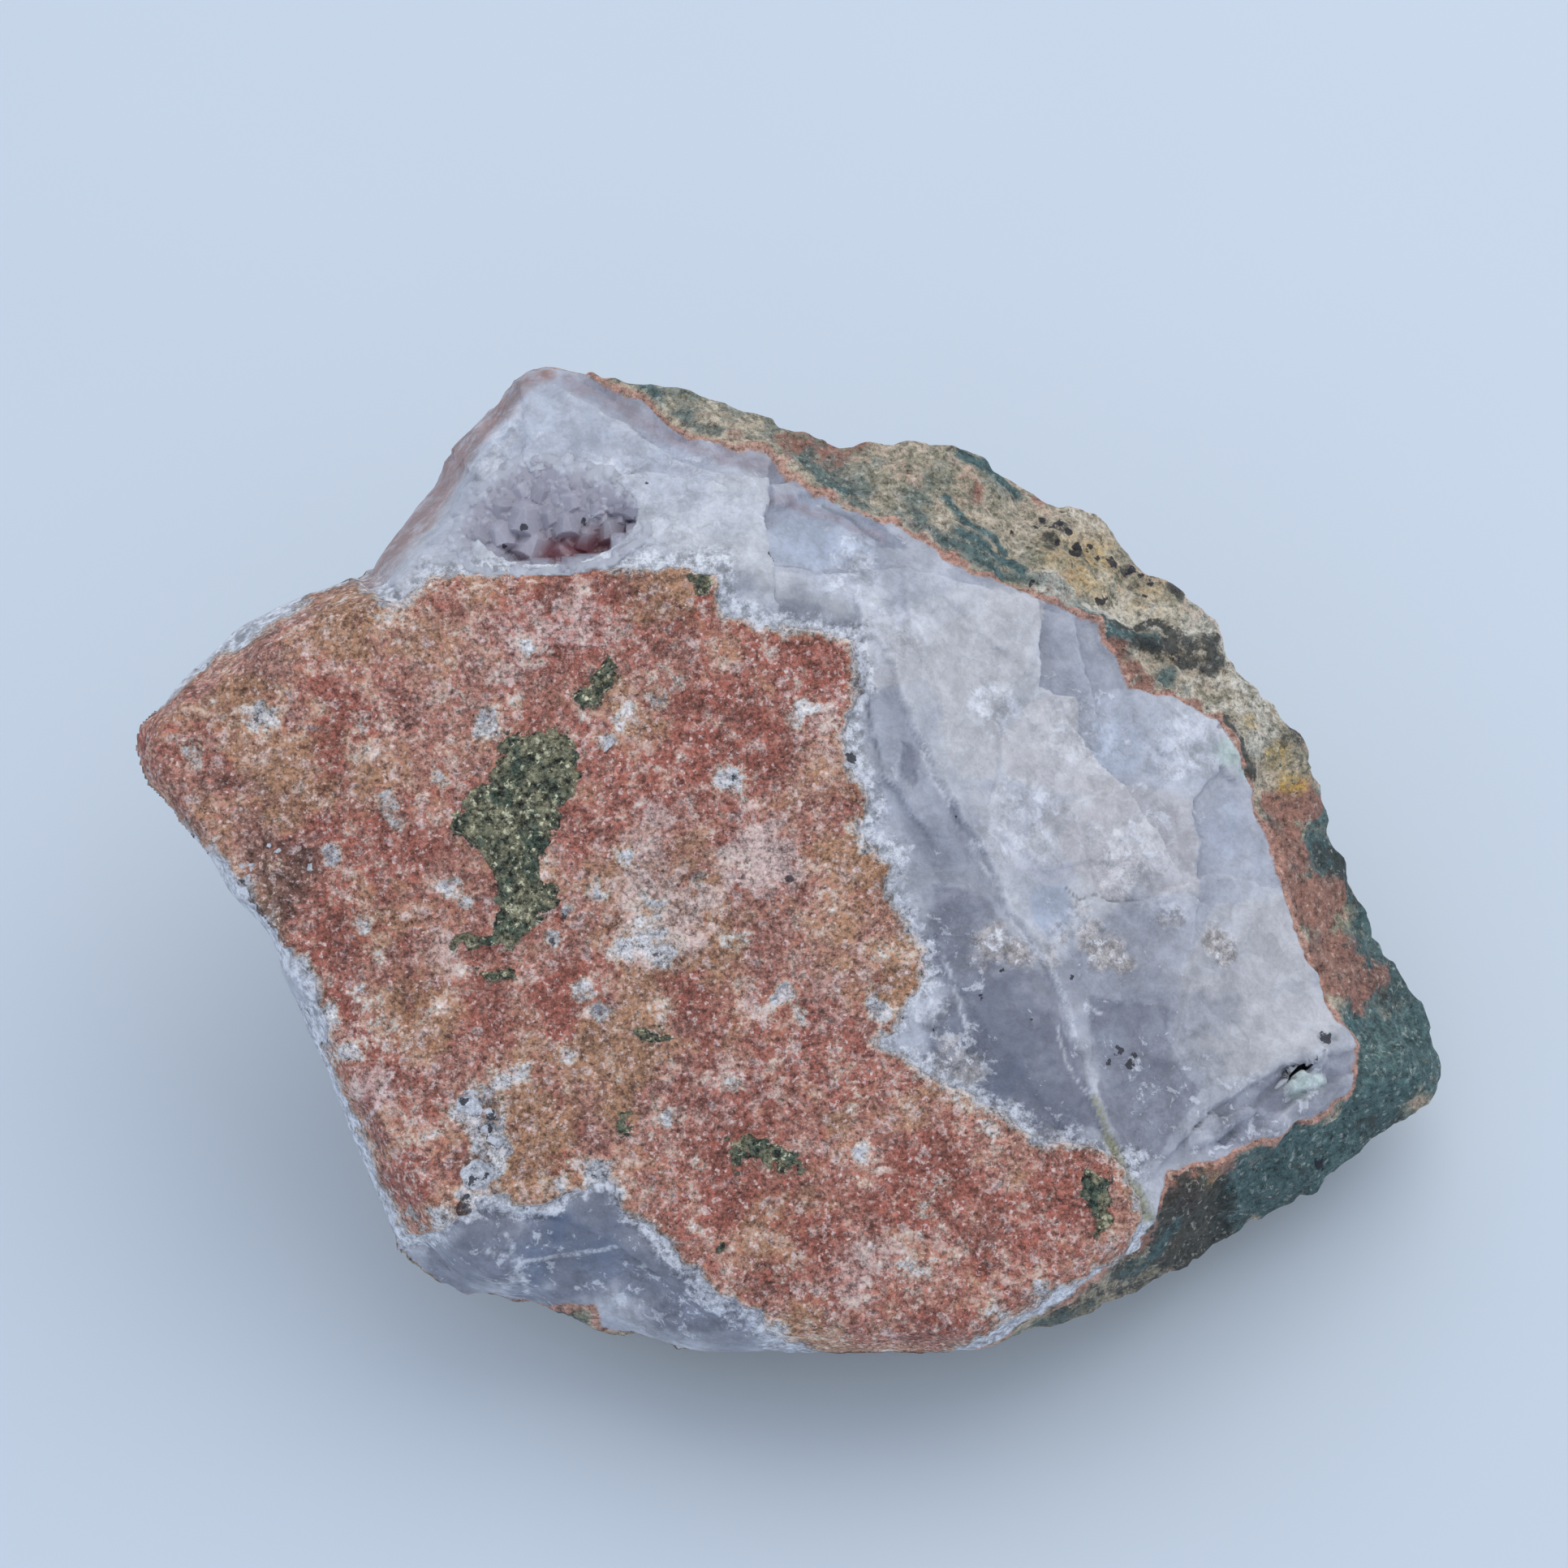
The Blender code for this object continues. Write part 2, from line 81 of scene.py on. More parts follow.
# The stone's form, in mm on its own axes: x right and y up the crust face, z out of it
stone = {
    "voxel": 1.35,
    "outlineCentre": (0.0, -8.0),
    "outlineSectors": 160,
    "innerPoint": (0.0, -8.0, -25.0),
    "reliefSeed": Vector((3.7, 11.2, 5.9)),
    "reliefBlend": 1.5,
    "outline": (
        (-64.8, 2.3), (-63.8, 6.1), (-60.6, 9.8), (-53.7, 16.2), (-45.6, 19.7), (-43.2, 20.5),
        (-41.8, 20.2), (-40.0, 23.1), (-34.4, 30.3), (-34.0, 32.3), (-29.5, 37.2), (-25.5, 41.2),
        (-22.3, 41.6), (-19.0, 40.2), (-9.4, 39.4), (-5.3, 37.6), (2.7, 34.6), (7.6, 33.7),
        (12.4, 34.0), (18.1, 33.4), (22.9, 31.1), (26.9, 27.9), (30.2, 28.1), (33.4, 24.7),
        (37.4, 20.2), (39.8, 19.7), (43.1, 15.8), (45.5, 11.0), (50.3, 6.5), (52.3, 3.7),
        (52.9, -1.1), (56.4, -8.4), (56.9, -11.6), (62.8, -20.9), (65.9, -27.7), (65.2, -30.6),
        (62.4, -33.0), (54.4, -39.0), (47.9, -43.1), (35.0, -50.7), (26.1, -54.4), (18.9, -56.4),
        (2.7, -56.6), (-9.4, -56.6), (-16.6, -54.0), (-31.9, -51.1), (-36.8, -47.5),
        (-39.2, -44.3), (-42.4, -36.6), (-48.1, -22.9), (-50.5, -18.1), (-50.9, -14.8),
        (-54.5, -11.6), (-57.7, -6.8), (-61.8, -1.5),
    ),
    "seenFaces": {
        "crust": ("crust", (-40.0, 0.0, 0.0), (20.0, 10.0, 0.0), (0.0, -40.0, 0.0)),
        "brightBreak": ("agate", (7.0, 15.5, -0.3), (36.0, -42.0, -0.5), (52.0, -8.0, -20.0)),
        "skyBreak": ("agate", (-35.0, 20.6, -0.2), (-6.0, 21.6, -0.2), (-24.0, 41.5, -15.0)),
        "blueBreak": ("sunkAgate", (-1.7, 21.5, -1.2), (-1.7, 32.5, -9.0), (27.0, 17.8, -11.0)),
        "rindTop": ("rock", (-2.1, 32.3, -8.7), (26.9, 17.8, -10.9), (18.0, 33.4, -26.0)),
        "rindShoulder": ("rock", (31.0, 15.2, -14.5), (46.0, 2.0, -19.5), (43.1, 15.8, -32.0)),
        "rindRight": ("rock", (46.7, -2.7, -18.4), (56.9, -27.7, -17.0), (62.0, -20.0, -30.0)),
        "rindLow": ("rock", (36.6, -43.0, -1.0), (56.9, -28.5, -16.8), (50.0, -41.8, -26.0)),
        "lowRight": ("rock", (36.0, -43.5, 0.0), (19.0, -55.2, 0.0), (33.0, -52.0, -12.0)),
        "lowEdge": ("crust", (19.0, -55.4, 0.0), (0.0, -54.5, 0.0), (8.0, -56.6, -6.0)),
        "blueChamfer": ("agate", (-33.0, -40.5, 0.0), (-5.0, -51.0, 0.0), (-18.0, -54.0, -6.0)),
        "leftLowSide": ("agate", (-52.0, -12.0, 0.0), (-39.5, -43.5, 0.0), (-45.5, -32.0, -9.0)),
        "leftTipSide": ("agate", (-64.5, 3.0, 0.0), (-52.0, -13.0, 0.0), (-60.0, -6.0, -9.0)),
    },
    "sides": {  # the front slab and the mass behind it end on the left in different faces
        "slabSide": ("agate", (-63.5, 6.2, 0.0), (-43.0, 20.3, 0.0), (-54.5, 16.8, -9.0)),
        "rearSide": ("agate", (-39.2, 20.2, -1.0), (-23.1, 40.0, -14.0), (-34.4, 30.3, -14.0)),
    },
    "hiddenFaces": {  # measured on the standing chunk
        "foot": ("rock", (0.0, 0.0, -2.0), (10.0, 0.0, -2.0), (0.0, 10.0, -2.0)),
        "backWall": ("rock", (-24.0, 43.0, 62.0), (18.0, 43.5, 52.0), (0.0, 47.0, 28.0)),
        "backLow": ("rock", (-20.0, 46.5, 22.0), (30.0, 46.5, 22.0), (5.0, 21.0, -2.0)),
        "backRight": ("rock", (34.0, 41.0, 44.0), (67.0, 1.0, 12.0), (47.0, 25.0, 8.0)),
        "backRightLow": ("rock", (67.0, 1.0, 12.0), (38.0, 38.0, 15.0), (29.0, 16.0, -2.0)),
        "rightLow": ("rock", (68.0, -8.0, 12.0), (48.0, -26.0, 8.0), (31.0, -6.0, -2.0)),
        "frontLow": ("rock", (27.0, -42.0, 13.0), (-10.0, -44.0, 12.0), (5.0, -9.0, -2.0)),
        "leftFrontLow": ("rock", (-38.0, -39.0, 20.0), (-53.0, -10.0, 39.0), (-12.0, -5.0, -2.0)),
        "leftBackLow": ("rock", (-67.0, 6.0, 47.0), (-45.0, 30.0, 48.0), (-13.0, 14.0, -2.0)),
    },
    "relief": {  # how far a kind of face stands out, then (wavelength, height) of its relief
        "crust": (0.0, (26.0, 0.8), (6.0, 0.35)),
        "agate": (0.0, (20.0, 0.9), (7.0, 0.3)),
        "sunkAgate": (-0.8, (20.0, 0.9), (7.0, 0.3)),
        "rock": (0.0, (17.0, 1.7), (5.0, 0.7)),
    },
    "hollows": {  # middle as sighted, half sizes, turn about z and lean about x in degrees
        "pocket": ((-22.4, 25.3, -6.2), (8.7, 6.2, 7.2), 0.0, -36.5),
        "notch": ((-38.6, 22.4, 0.4), (4.6, 5.4, 4.6), 25.0, 0.0),
        "rindHollow": ((39.6, 12.4, -17.0), (5.0, 3.0, 4.4), -12.0, 0.0),
        "crevice": ((48.2, -30.4, -15.2), (6.8, 0.8, 3.0), 36.0, 0.0),
    },
}


def planeThrough(a, b, c):
    # a point of the plane and its normal out of the stone
    normal = (b - a).cross(c - a).normalized()
    if normal.dot(sighted(stone["innerPoint"]) - a) > 0.0:
        normal.negate()
    return a, normal


def facePlane(face, placed):
    kind, *points = face
    return (kind, *planeThrough(*[placed(point) for point in points]))


def cutBlock(planes):
    bm = bmesh.new()
    bmesh.ops.create_cube(bm, size=400.0)
    for _, point, normal in planes:
        parts = bm.verts[:] + bm.edges[:] + bm.faces[:]
        cut = bmesh.ops.bisect_plane(
            bm, geom=parts, plane_co=point, plane_no=normal, clear_outer=True)
        rim = [item for item in cut["geom_cut"] if isinstance(item, bmesh.types.BMEdge)]
        bmesh.ops.contextual_create(bm, geom=rim)
    return bm


def meshFrom(bm, name):
    mesh = bpy.data.meshes.new(name)
    bm.to_mesh(mesh)
    bm.free()
    return mesh


def newObject(name, mesh):
    obj = bpy.data.objects.new(name, mesh)
    bpy.context.scene.collection.objects.link(obj)
    return obj


def evaluated(obj):
    return bpy.data.meshes.new_from_object(obj.evaluated_get(bpy.context.evaluated_depsgraph_get()))


def getPlaces(mesh):
    places = np.empty(len(mesh.vertices) * 3)
    mesh.vertices.foreach_get("co", places)
    return places.reshape(-1, 3)


def getNormals(mesh):
    normals = np.empty(len(mesh.vertices) * 3)
    mesh.vertices.foreach_get("normal", normals)
    return normals.reshape(-1, 3)


def setPlaces(mesh, places):
    mesh.vertices.foreach_set("co", places.ravel())
    mesh.update()


def sight(places):
    # where each place shows on the plane of the crust face
    away = stance["sightHeight"]
    return places[:, :2] * (away / (away - places[:, 2:3]))


def placeAtSight(places, shown):
    away = stance["sightHeight"]
    places[:, :2] = shown * ((away - places[:, 2:3]) / away)


def reach(outline, directions):
    # how far the outline lies from its centre in each direction
    start = outline
    end = np.roll(outline, -1, axis=0)
    across = np.stack([-directions[:, 1], directions[:, 0]], 1)
    sideStart = across @ start.T
    sideEnd = across @ end.T
    crosses = sideStart * sideEnd <= 0.0
    share = sideStart / np.where(sideStart == sideEnd, 1.0, sideStart - sideEnd)
    along = (directions @ start.T) * (1.0 - share) + (directions @ end.T) * share
    return np.where(crosses, along, 0.0).max(1)


def fitToOutline(mesh):
    places = getPlaces(mesh)
    centre = np.array(stone["outlineCentre"])
    outline = np.array(stone["outline"]) - centre
    sectors = stone["outlineSectors"]
    shown = sight(places) - centre
    away = np.linalg.norm(shown, axis=1)
    share = away / reach(outline, shown / away[:, None])
    turn = (np.arctan2(shown[:, 1], shown[:, 0]) / math.tau * sectors) % sectors
    filled = np.zeros(sectors)
    np.maximum.at(filled, turn.astype(int) % sectors, share)
    first = np.floor(turn - 0.5).astype(int) % sectors
    step = (turn - 0.5) % 1.0
    edge = filled[first] * (1.0 - step) + filled[(first + 1) % sectors] * step
    pull = 1.0 + (1.0 / edge - 1.0) * (share / edge) ** 4
    placeAtSight(places, centre + shown * np.minimum(pull, 1.0 / share)[:, None])
    setPlaces(mesh, places)


def noiseAt(places, wavelength, seed):
    shift = Vector(seed)
    return np.array([noise.noise(Vector(place) + shift) for place in places / wavelength])


def latticeDirections(count):
    # directions spread evenly over a ball
    turns = np.arange(count) * math.pi * (3.0 - math.sqrt(5.0))
    heights = 1.0 - (np.arange(count) + 0.5) / (0.5 * count)
    flat = np.sqrt(1.0 - heights**2)
    return np.stack([flat * np.cos(turns), flat * np.sin(turns), heights], 1)


directions = latticeDirections(256)
mixers = (73856093, 19349663, 83492791)  # large primes that mix a cell's place into a key
lastMixer = 2654435761


def ripple(places, wavelength, seed):
    # smooth noise between -1 and 1 at many places at once
    at = places / wavelength + np.array(seed) * 3.7
    cell = np.floor(at).astype(np.int64)
    inner = at - cell
    fade = inner**3 * (inner * (inner * 6.0 - 15.0) + 10.0)
    total = np.zeros(len(places))
    for corner in itertools.product((0, 1), repeat=3):
        key = ((cell + corner) * mixers).sum(1) * lastMixer & 0xFFFFFFFF
        towards = directions[(key >> 15) % len(directions)]
        weight = np.where(corner, fade, 1.0 - fade).prod(1)
        total += weight * ((inner - corner) * towards).sum(1)
    return total * 1.6


def faceDepths(places, planes):
    points = np.array([point for _, point, _ in planes])
    normals = np.array([normal for _, _, normal in planes])
    return np.abs(places @ normals.T - (points * normals).sum(1))


def roughen(mesh, planes):
    places = getPlaces(mesh)
    depths = faceDepths(places, planes)
    weights = np.exp(-(depths - depths.min(1, keepdims=True)) / stone["reliefBlend"])
    weights[weights <= 0.02] = 0.0
    height = np.zeros(len(places))
    for kind, (offset, *layers) in stone["relief"].items():
        ofKind = np.array([plane[0] == kind for plane in planes])
        share = weights[:, ofKind].sum(1)
        near = share > 0.0
        relief = np.full(near.sum(), offset)
        for wavelength, size in layers:
            relief += size * noiseAt(places[near], wavelength, stone["reliefSeed"])
        height[near] += share[near] * relief
    places += getNormals(mesh) * (height / weights.sum(1))[:, None]
    setPlaces(mesh, places)


def cutHollows(obj):
    cutters = []
    for name, (middle, half, turn, lean) in stone["hollows"].items():
        bm = bmesh.new()
        bmesh.ops.create_uvsphere(bm, u_segments=48, v_segments=28, radius=1.0)
        turned = Matrix.Rotation(math.radians(turn), 4, "Z") @ Matrix.Rotation(math.radians(lean), 4, "X")
        placed = Matrix.Translation(sighted(middle)) @ turned @ Matrix.Diagonal((*half, 1.0))
        bmesh.ops.transform(bm, matrix=placed, verts=bm.verts)
        cutters.append(newObject(name, meshFrom(bm, name)))
        obj.modifiers.new(name, "BOOLEAN").object = cutters[-1]
    obj.data = evaluated(obj)
    obj.modifiers.clear()
    for cutter in cutters:
        bpy.data.objects.remove(cutter)


def makeRoughStone():
    shared = [facePlane(face, sighted) for face in stone["seenFaces"].values()]
    shared += [facePlane(face, standing) for face in stone["hiddenFaces"].values()]
    sides = [facePlane(side, sighted) for side in stone["sides"].values()]
    blocks = [cutBlock(shared + [side]) for side in sides]
    blocks[0].from_mesh(meshFrom(blocks[1], "rearBlock"))
    obj = newObject("stoneSurface", meshFrom(blocks[0], "stoneSurface"))
    remesh = obj.modifiers.new("remesh", "REMESH")
    remesh.mode = "VOXEL"
    remesh.voxel_size = stone["voxel"]
    obj.data = evaluated(obj)
    obj.modifiers.clear()
    fitToOutline(obj.data)
    roughen(obj.data, shared + sides)
    fitToOutline(obj.data)
    return obj


# Outlines of the coloured areas, traced in photo pixels
areas = {
    "crust": [(
        (150, 938), (165, 900), (200, 868), (262, 812), (300, 787), (345, 765), (390, 735),
        (440, 712), (465, 735), (487, 748), (505, 735), (530, 712), (600, 708), (700, 700),
        (800, 698), (885, 703), (893, 757), (950, 772), (1012, 782), (1052, 792), (1057, 850),
        (1038, 905), (1052, 955), (1072, 990), (1060, 1030), (1092, 1062), (1105, 1130),
        (1140, 1170), (1138, 1200), (1112, 1258), (1085, 1285), (1170, 1340), (1240, 1375),
        (1270, 1410), (1345, 1412), (1385, 1438), (1408, 1505), (1392, 1540), (1290, 1602),
        (1190, 1658), (1080, 1690), (960, 1644), (915, 1612), (862, 1580), (815, 1520),
        (770, 1490), (750, 1450), (690, 1480), (640, 1488), (610, 1470), (560, 1500),
        (530, 1520), (500, 1520), (481, 1488), (470, 1455), (435, 1378), (404, 1300), (388, 1212),
        (337, 1144), (282, 1074), (240, 1030),
    )],
    "agate": [(
        (60, 938), (300, 700), (448, 640), (650, 380), (705, 440), (722, 470), (790, 500),
        (850, 545), (940, 565), (1000, 610), (1100, 650), (1200, 710), (1300, 745),
        (1350, 778), (1390, 850), (1440, 862), (1500, 890), (1530, 935), (1545, 1000),
        (1580, 1100), (1610, 1180), (1640, 1250), (1672, 1305), (1655, 1350), (1590, 1385),
        (1500, 1425), (1440, 1440), (1425, 1500), (1400, 1540), (1295, 1604), (1200, 1660),
        (1110, 1760), (760, 1660), (735, 1612), (640, 1598), (570, 1596), (480, 1640),
        (300, 1400), (200, 1150),
    )],
    "pocket": [(
        (585, 640), (600, 600), (650, 578), (720, 576), (780, 600), (798, 640), (785, 672), (740, 694),
        (690, 702), (630, 700), (595, 680),
    )],
    "dottedRock": [((1235, 625), (1300, 618), (1440, 700), (1440, 755), (1340, 760), (1250, 735))],
    "celadonite": [
        ((622, 905), (700, 900), (718, 930), (700, 990), (680, 1040), (665, 1085), (700, 1095),
         (668, 1130), (640, 1165), (600, 1170), (552, 1168), (560, 1150), (605, 1150), (615, 1110),
         (600, 1055), (552, 1020), (575, 975), (605, 960)),
        ((585, 1195), (640, 1190), (638, 1212), (600, 1210)),
        ((705, 862), (730, 840), (750, 800), (765, 830), (735, 872), (710, 880)),
        ((780, 1268), (800, 1262), (832, 1272), (822, 1284), (790, 1284)),
        ((757, 1370), (778, 1366), (776, 1392), (762, 1402)),
        ((892, 1400), (930, 1396), (985, 1420), (988, 1442), (960, 1446), (925, 1425), (905, 1450)),
        ((882, 1525), (900, 1530), (888, 1552)),
        ((1332, 1440), (1365, 1445), (1372, 1510), (1350, 1532), (1336, 1490)),
        ((852, 708), (880, 706), (878, 738), (858, 736)),
    ],
}


def signedDistance(shown, outline):
    # mm inside an outline, negative outside it
    a = fromPhoto(outline)
    b = np.roll(a, -1, axis=0)
    best = np.full(len(shown), 1e9)
    inside = np.zeros(len(shown), bool)
    for (ax, ay), (bx, by) in zip(a, b):
        dx, dy = bx - ax, by - ay
        px, py = shown[:, 0] - ax, shown[:, 1] - ay
        share = np.clip((px * dx + py * dy) / (dx * dx + dy * dy), 0.0, 1.0)
        best = np.minimum(best, np.hypot(px - share * dx, py - share * dy))
        spans = (ay > shown[:, 1]) != (by > shown[:, 1])
        slope = dx / dy if dy else 0.0
        inside ^= spans & (px < slope * py)
    return np.where(inside, best, -best)


def areaDistance(shown, name):
    return np.max([signedDistance(shown, outline) for outline in areas[name]], axis=0)


# Depth of the contact between agate and host rock below the crust face, at places round the stone
contact = {
    "places": (
        ((-62.0, 3.0), -13.0), ((-50.0, 16.0), -14.0), ((-36.0, 30.0), -22.0), ((-20.0, 40.0), -15.0),
        ((-2.0, 32.3), -8.7), ((27.0, 17.8), -10.9), ((46.7, -2.7), -18.4), ((56.9, -27.7), -17.0),
        ((36.2, -43.0), -1.0), ((10.0, -56.0), -7.0), ((-25.0, -52.0), -9.0), ((-44.0, -34.0), -9.0),
        ((-52.0, -14.0), -12.0), ((0.0, 0.0), -30.0),
    ),
    "waves": 1.2,
}


def contactDepth(places):
    # smooth depth of the contact, each given place weighing by its nearness
    total = np.zeros(len(places))
    depth = np.zeros(len(places))
    for (x, y), level in contact["places"]:
        weight = 1.0 / ((places[:, 0] - x) ** 2 + (places[:, 1] - y) ** 2 + 20.0) ** 2
        total += weight
        depth += weight * level
    return depth / total + contact["waves"] * ripple(places, 9.0, (5.0, 1.0, 8.0))


def smoothStep(value, low, high):
    share = np.clip((value - low) / (high - low), 0.0, 1.0)
    return share * share * (3.0 - 2.0 * share)


def addMask(mesh, name, values):
    layer = mesh.attributes.new(name, "FLOAT", "POINT")
    layer.data.foreach_set("value", np.asarray(values, np.float32))


# Steps of the broken agate: a line in photo pixels whose left side, as it is drawn, stands out by a rise
# that fades over a reach, both in mm
steps = (
    (((1279, 785), (1277, 847), (1318, 861), (1336, 920), (1366, 948), (1384, 969), (1412, 1010)), -0.95,
      4.5),
    (((1263, 829), (1242, 856), (1231, 907), (1231, 943), (1222, 990)), 0.35, 3.5),
    (((1100, 829), (1125, 902), (1143, 923), (1175, 987), (1222, 1069), (1242, 1119), (1277, 1158),
      (1295, 1200), (1316, 1253), (1327, 1287), (1348, 1358), (1380, 1430), (1415, 1490)), 0.5, 3.0),
    (((1061, 767), (1074, 890), (1088, 952), (1130, 1010)), 0.4, 3.0),
    (((1327, 767), (1341, 838), (1352, 870)), -0.35, 3.0),
    (((1500, 880), (1503, 950), (1472, 985), (1480, 1060), (1474, 1110)), -0.4, 3.0),
    (((1353, 1094), (1364, 1110), (1405, 1110), (1431, 1099), (1475, 1112)), -0.3, 3.0),
    (((1652, 1296), (1602, 1310), (1588, 1308), (1570, 1316), (1545, 1333), (1520, 1352), (1490, 1366),
      (1462, 1398)), -0.6, 5.0),
    (((1668, 1318), (1640, 1332), (1604, 1352), (1578, 1372), (1560, 1392)), 0.5, 2.5),
    (((946, 583), (943, 640), (950, 692)), -0.9, 7.0),
    (((715, 490), (780, 528), (840, 570), (900, 588), (948, 592)), -0.45, 3.0),
    (((950, 690), (1010, 705), (1100, 700), (1200, 716), (1260, 738)), -0.3, 3.0),
    (((1232, 1030), (1290, 1075), (1340, 1060), (1400, 1075)), 0.22, 3.0),
    (((1180, 752), (1230, 800), (1262, 830)), 0.25, 3.0),
    (((1120, 740), (1130, 800), (1160, 850), (1165, 910)), 0.22, 3.0),
    (((1384, 969), (1330, 985), (1290, 1020)), 0.25, 3.0),
    (((1430, 1099), (1500, 1075), (1570, 1095)), -0.3, 3.0),
    (((1340, 1250), (1410, 1225), (1500, 1232), (1590, 1215)), 0.12, 4.0),
    (((1350, 1350), (1420, 1310), (1500, 1300), (1570, 1300)), 0.12, 4.0),
    (((1395, 852), (1400, 900), (1440, 930)), 0.25, 2.5),
    (((640, 480), (652, 520), (640, 570), (655, 590)), 0.25, 4.0),
    (((730, 590), (800, 583), (880, 598), (940, 640)), -0.35, 4.0),
    (((560, 560), (600, 600), (590, 650)), 0.3, 3.0),
    (((610, 1490), (700, 1500), (760, 1530), (840, 1590)), 0.4, 4.0),
    (((1092, 1062), (1130, 1130), (1165, 1200), (1230, 1290), (1320, 1400)), 0.2, 3.0),
)
# Facets of the broken agate: outline in photo pixels, how light and how warm each is beside what is round it;
# the lightness is partly the agate's own tone and partly painted light and shade of a facet turned towards or
# away from the light
facets = (
    (((1262, 866), (1295, 854), (1318, 861), (1332, 895), (1336, 920), (1362, 942), (1386, 969),
      (1360, 980), (1300, 978), (1235, 962), (1230, 910)), 0.8, 0.8),
    (((1277, 785), (1300, 768), (1332, 766), (1345, 792), (1352, 832), (1334, 866), (1318, 861),
      (1290, 850), (1277, 847), (1262, 830)), -0.15, 0.1),
    (((1340, 868), (1380, 850), (1440, 862), (1495, 885), (1505, 950), (1475, 984), (1400, 962),
      (1386, 969), (1362, 942), (1336, 920), (1332, 895)), 0.45, -0.5),
    (((1352, 885), (1400, 890), (1412, 930), (1380, 955), (1350, 930)), 0.25, -0.5),
    (((1120, 745), (1140, 790), (1135, 832), (1158, 868), (1150, 905), (1180, 960), (1230, 958),
      (1232, 905), (1242, 856), (1263, 829), (1277, 785), (1290, 740), (1200, 715)), 0.7, 0.5),
    (((1060, 760), (1120, 745), (1140, 790), (1135, 832), (1120, 850), (1100, 845), (1066, 850)), -0.05,
      0.5),
    (((1066, 850), (1100, 840), (1120, 878), (1125, 905), (1110, 920), (1102, 962), (1085, 940),
      (1066, 880)), -0.5, -0.1),
    (((1110, 918), (1123, 906), (1136, 920), (1140, 946), (1120, 964), (1107, 960)), -0.75, -0.1),
    (((1170, 984), (1180, 989), (1192, 1020), (1186, 1024), (1175, 1006)), -1.2, -0.3),
    (((1092, 966), (1110, 962), (1142, 948), (1168, 988), (1186, 1026), (1205, 1062), (1150, 1072),
      (1120, 1030)), -0.4, 0.0),
    (((1186, 972), (1240, 964), (1330, 985), (1345, 1030), (1300, 1075), (1240, 1085), (1200, 1040)), -0.25,
      0.4),
    (((1345, 985), (1400, 965), (1470, 986), (1476, 1060), (1482, 1108), (1420, 1100), (1360, 1106),
      (1330, 1080), (1300, 1040)), 0.0, 1.4),
    (((1474, 985), (1505, 954), (1545, 1000), (1560, 1060), (1580, 1100), (1545, 1100), (1500, 1072),
      (1477, 1060)), 0.2, -0.4),
    (((1500, 1110), (1580, 1102), (1612, 1180), (1645, 1265), (1600, 1308), (1500, 1330), (1440, 1300),
      (1450, 1200)), 0.3, 0.6),
    (((1340, 1230), (1440, 1240), (1440, 1300), (1480, 1345), (1430, 1420), (1390, 1440), (1350, 1340)),
      -1.5, 0.6),
    (((1150, 1090), (1215, 1100), (1245, 1150), (1290, 1200), (1310, 1260), (1340, 1330), (1368, 1400),
      (1260, 1352), (1200, 1340), (1170, 1300), (1158, 1220), (1150, 1150)), -1.15, 0.3),
    (((1130, 1262), (1180, 1268), (1230, 1300), (1236, 1334), (1190, 1330), (1140, 1300)), -1.0, -0.2),
    (((1270, 1092), (1310, 1090), (1320, 1130), (1290, 1156), (1272, 1130)), -0.1, -1.2),
    (((1558, 1392), (1576, 1372), (1604, 1354), (1640, 1334), (1662, 1322), (1650, 1348), (1610, 1380),
      (1580, 1394)), 0.35, 0.2),
    (((1546, 1364), (1556, 1340), (1575, 1325), (1597, 1311), (1602, 1316), (1590, 1328), (1580, 1342),
      (1584, 1352), (1596, 1354), (1588, 1364), (1570, 1368)), -1.6, 0.5),
    (((1500, 1412), (1516, 1396), (1530, 1384), (1550, 1376), (1580, 1368), (1560, 1392), (1530, 1404)),
      -0.5, 0.1),
    (((946, 640), (1010, 640), (1080, 670), (1090, 690), (1030, 700), (955, 690)), 0.8, -0.9),
    (((640, 480), (700, 472), (790, 532), (850, 578), (700, 568), (610, 592), (600, 540)), 0.7, -0.4),
    (((1017, 620), (1060, 628), (1110, 658), (1120, 672), (1080, 668), (1040, 645)), -0.9, -0.4),
    (((950, 600), (975, 593), (991, 604), (985, 620), (952, 622)), -0.1, 0.6),
    (((957, 702), (1010, 712), (1075, 706), (1100, 730), (1066, 765), (1010, 742), (957, 735)), 0.7, 0.1),
    (((1040, 760), (1062, 770), (1066, 850), (1040, 900), (1056, 930), (1036, 905), (1052, 850)), -0.9,
      0.0),
)
# Small chips that stand out: outline in photo pixels and rise in mm
chips = (
    (((1581, 1346), (1588, 1334), (1596, 1322), (1606, 1316), (1622, 1322), (1635, 1325), (1634, 1335),
      (1618, 1342), (1600, 1348)), 1.0),
    (((1607, 1307), (1612, 1293), (1622, 1286), (1634, 1294), (1641, 1305), (1630, 1318), (1614, 1316)),
      0.6),
    (((1458, 1398), (1478, 1386), (1484, 1371), (1500, 1367), (1505, 1376), (1518, 1366), (1538, 1363),
      (1550, 1366), (1545, 1378), (1530, 1384), (1508, 1404), (1490, 1409), (1462, 1414)), 0.7),
    (((1500, 1409), (1516, 1396), (1530, 1385), (1527, 1398), (1512, 1412)), -0.6),
    (((1494, 905), (1506, 892), (1526, 930), (1530, 962), (1512, 958), (1500, 935)), 0.8),
    (((948, 595), (975, 592), (991, 604), (985, 620), (952, 622)), 0.6),
    (((1109, 911), (1125, 915), (1134, 960), (1126, 975), (1112, 950)), -0.35),
)

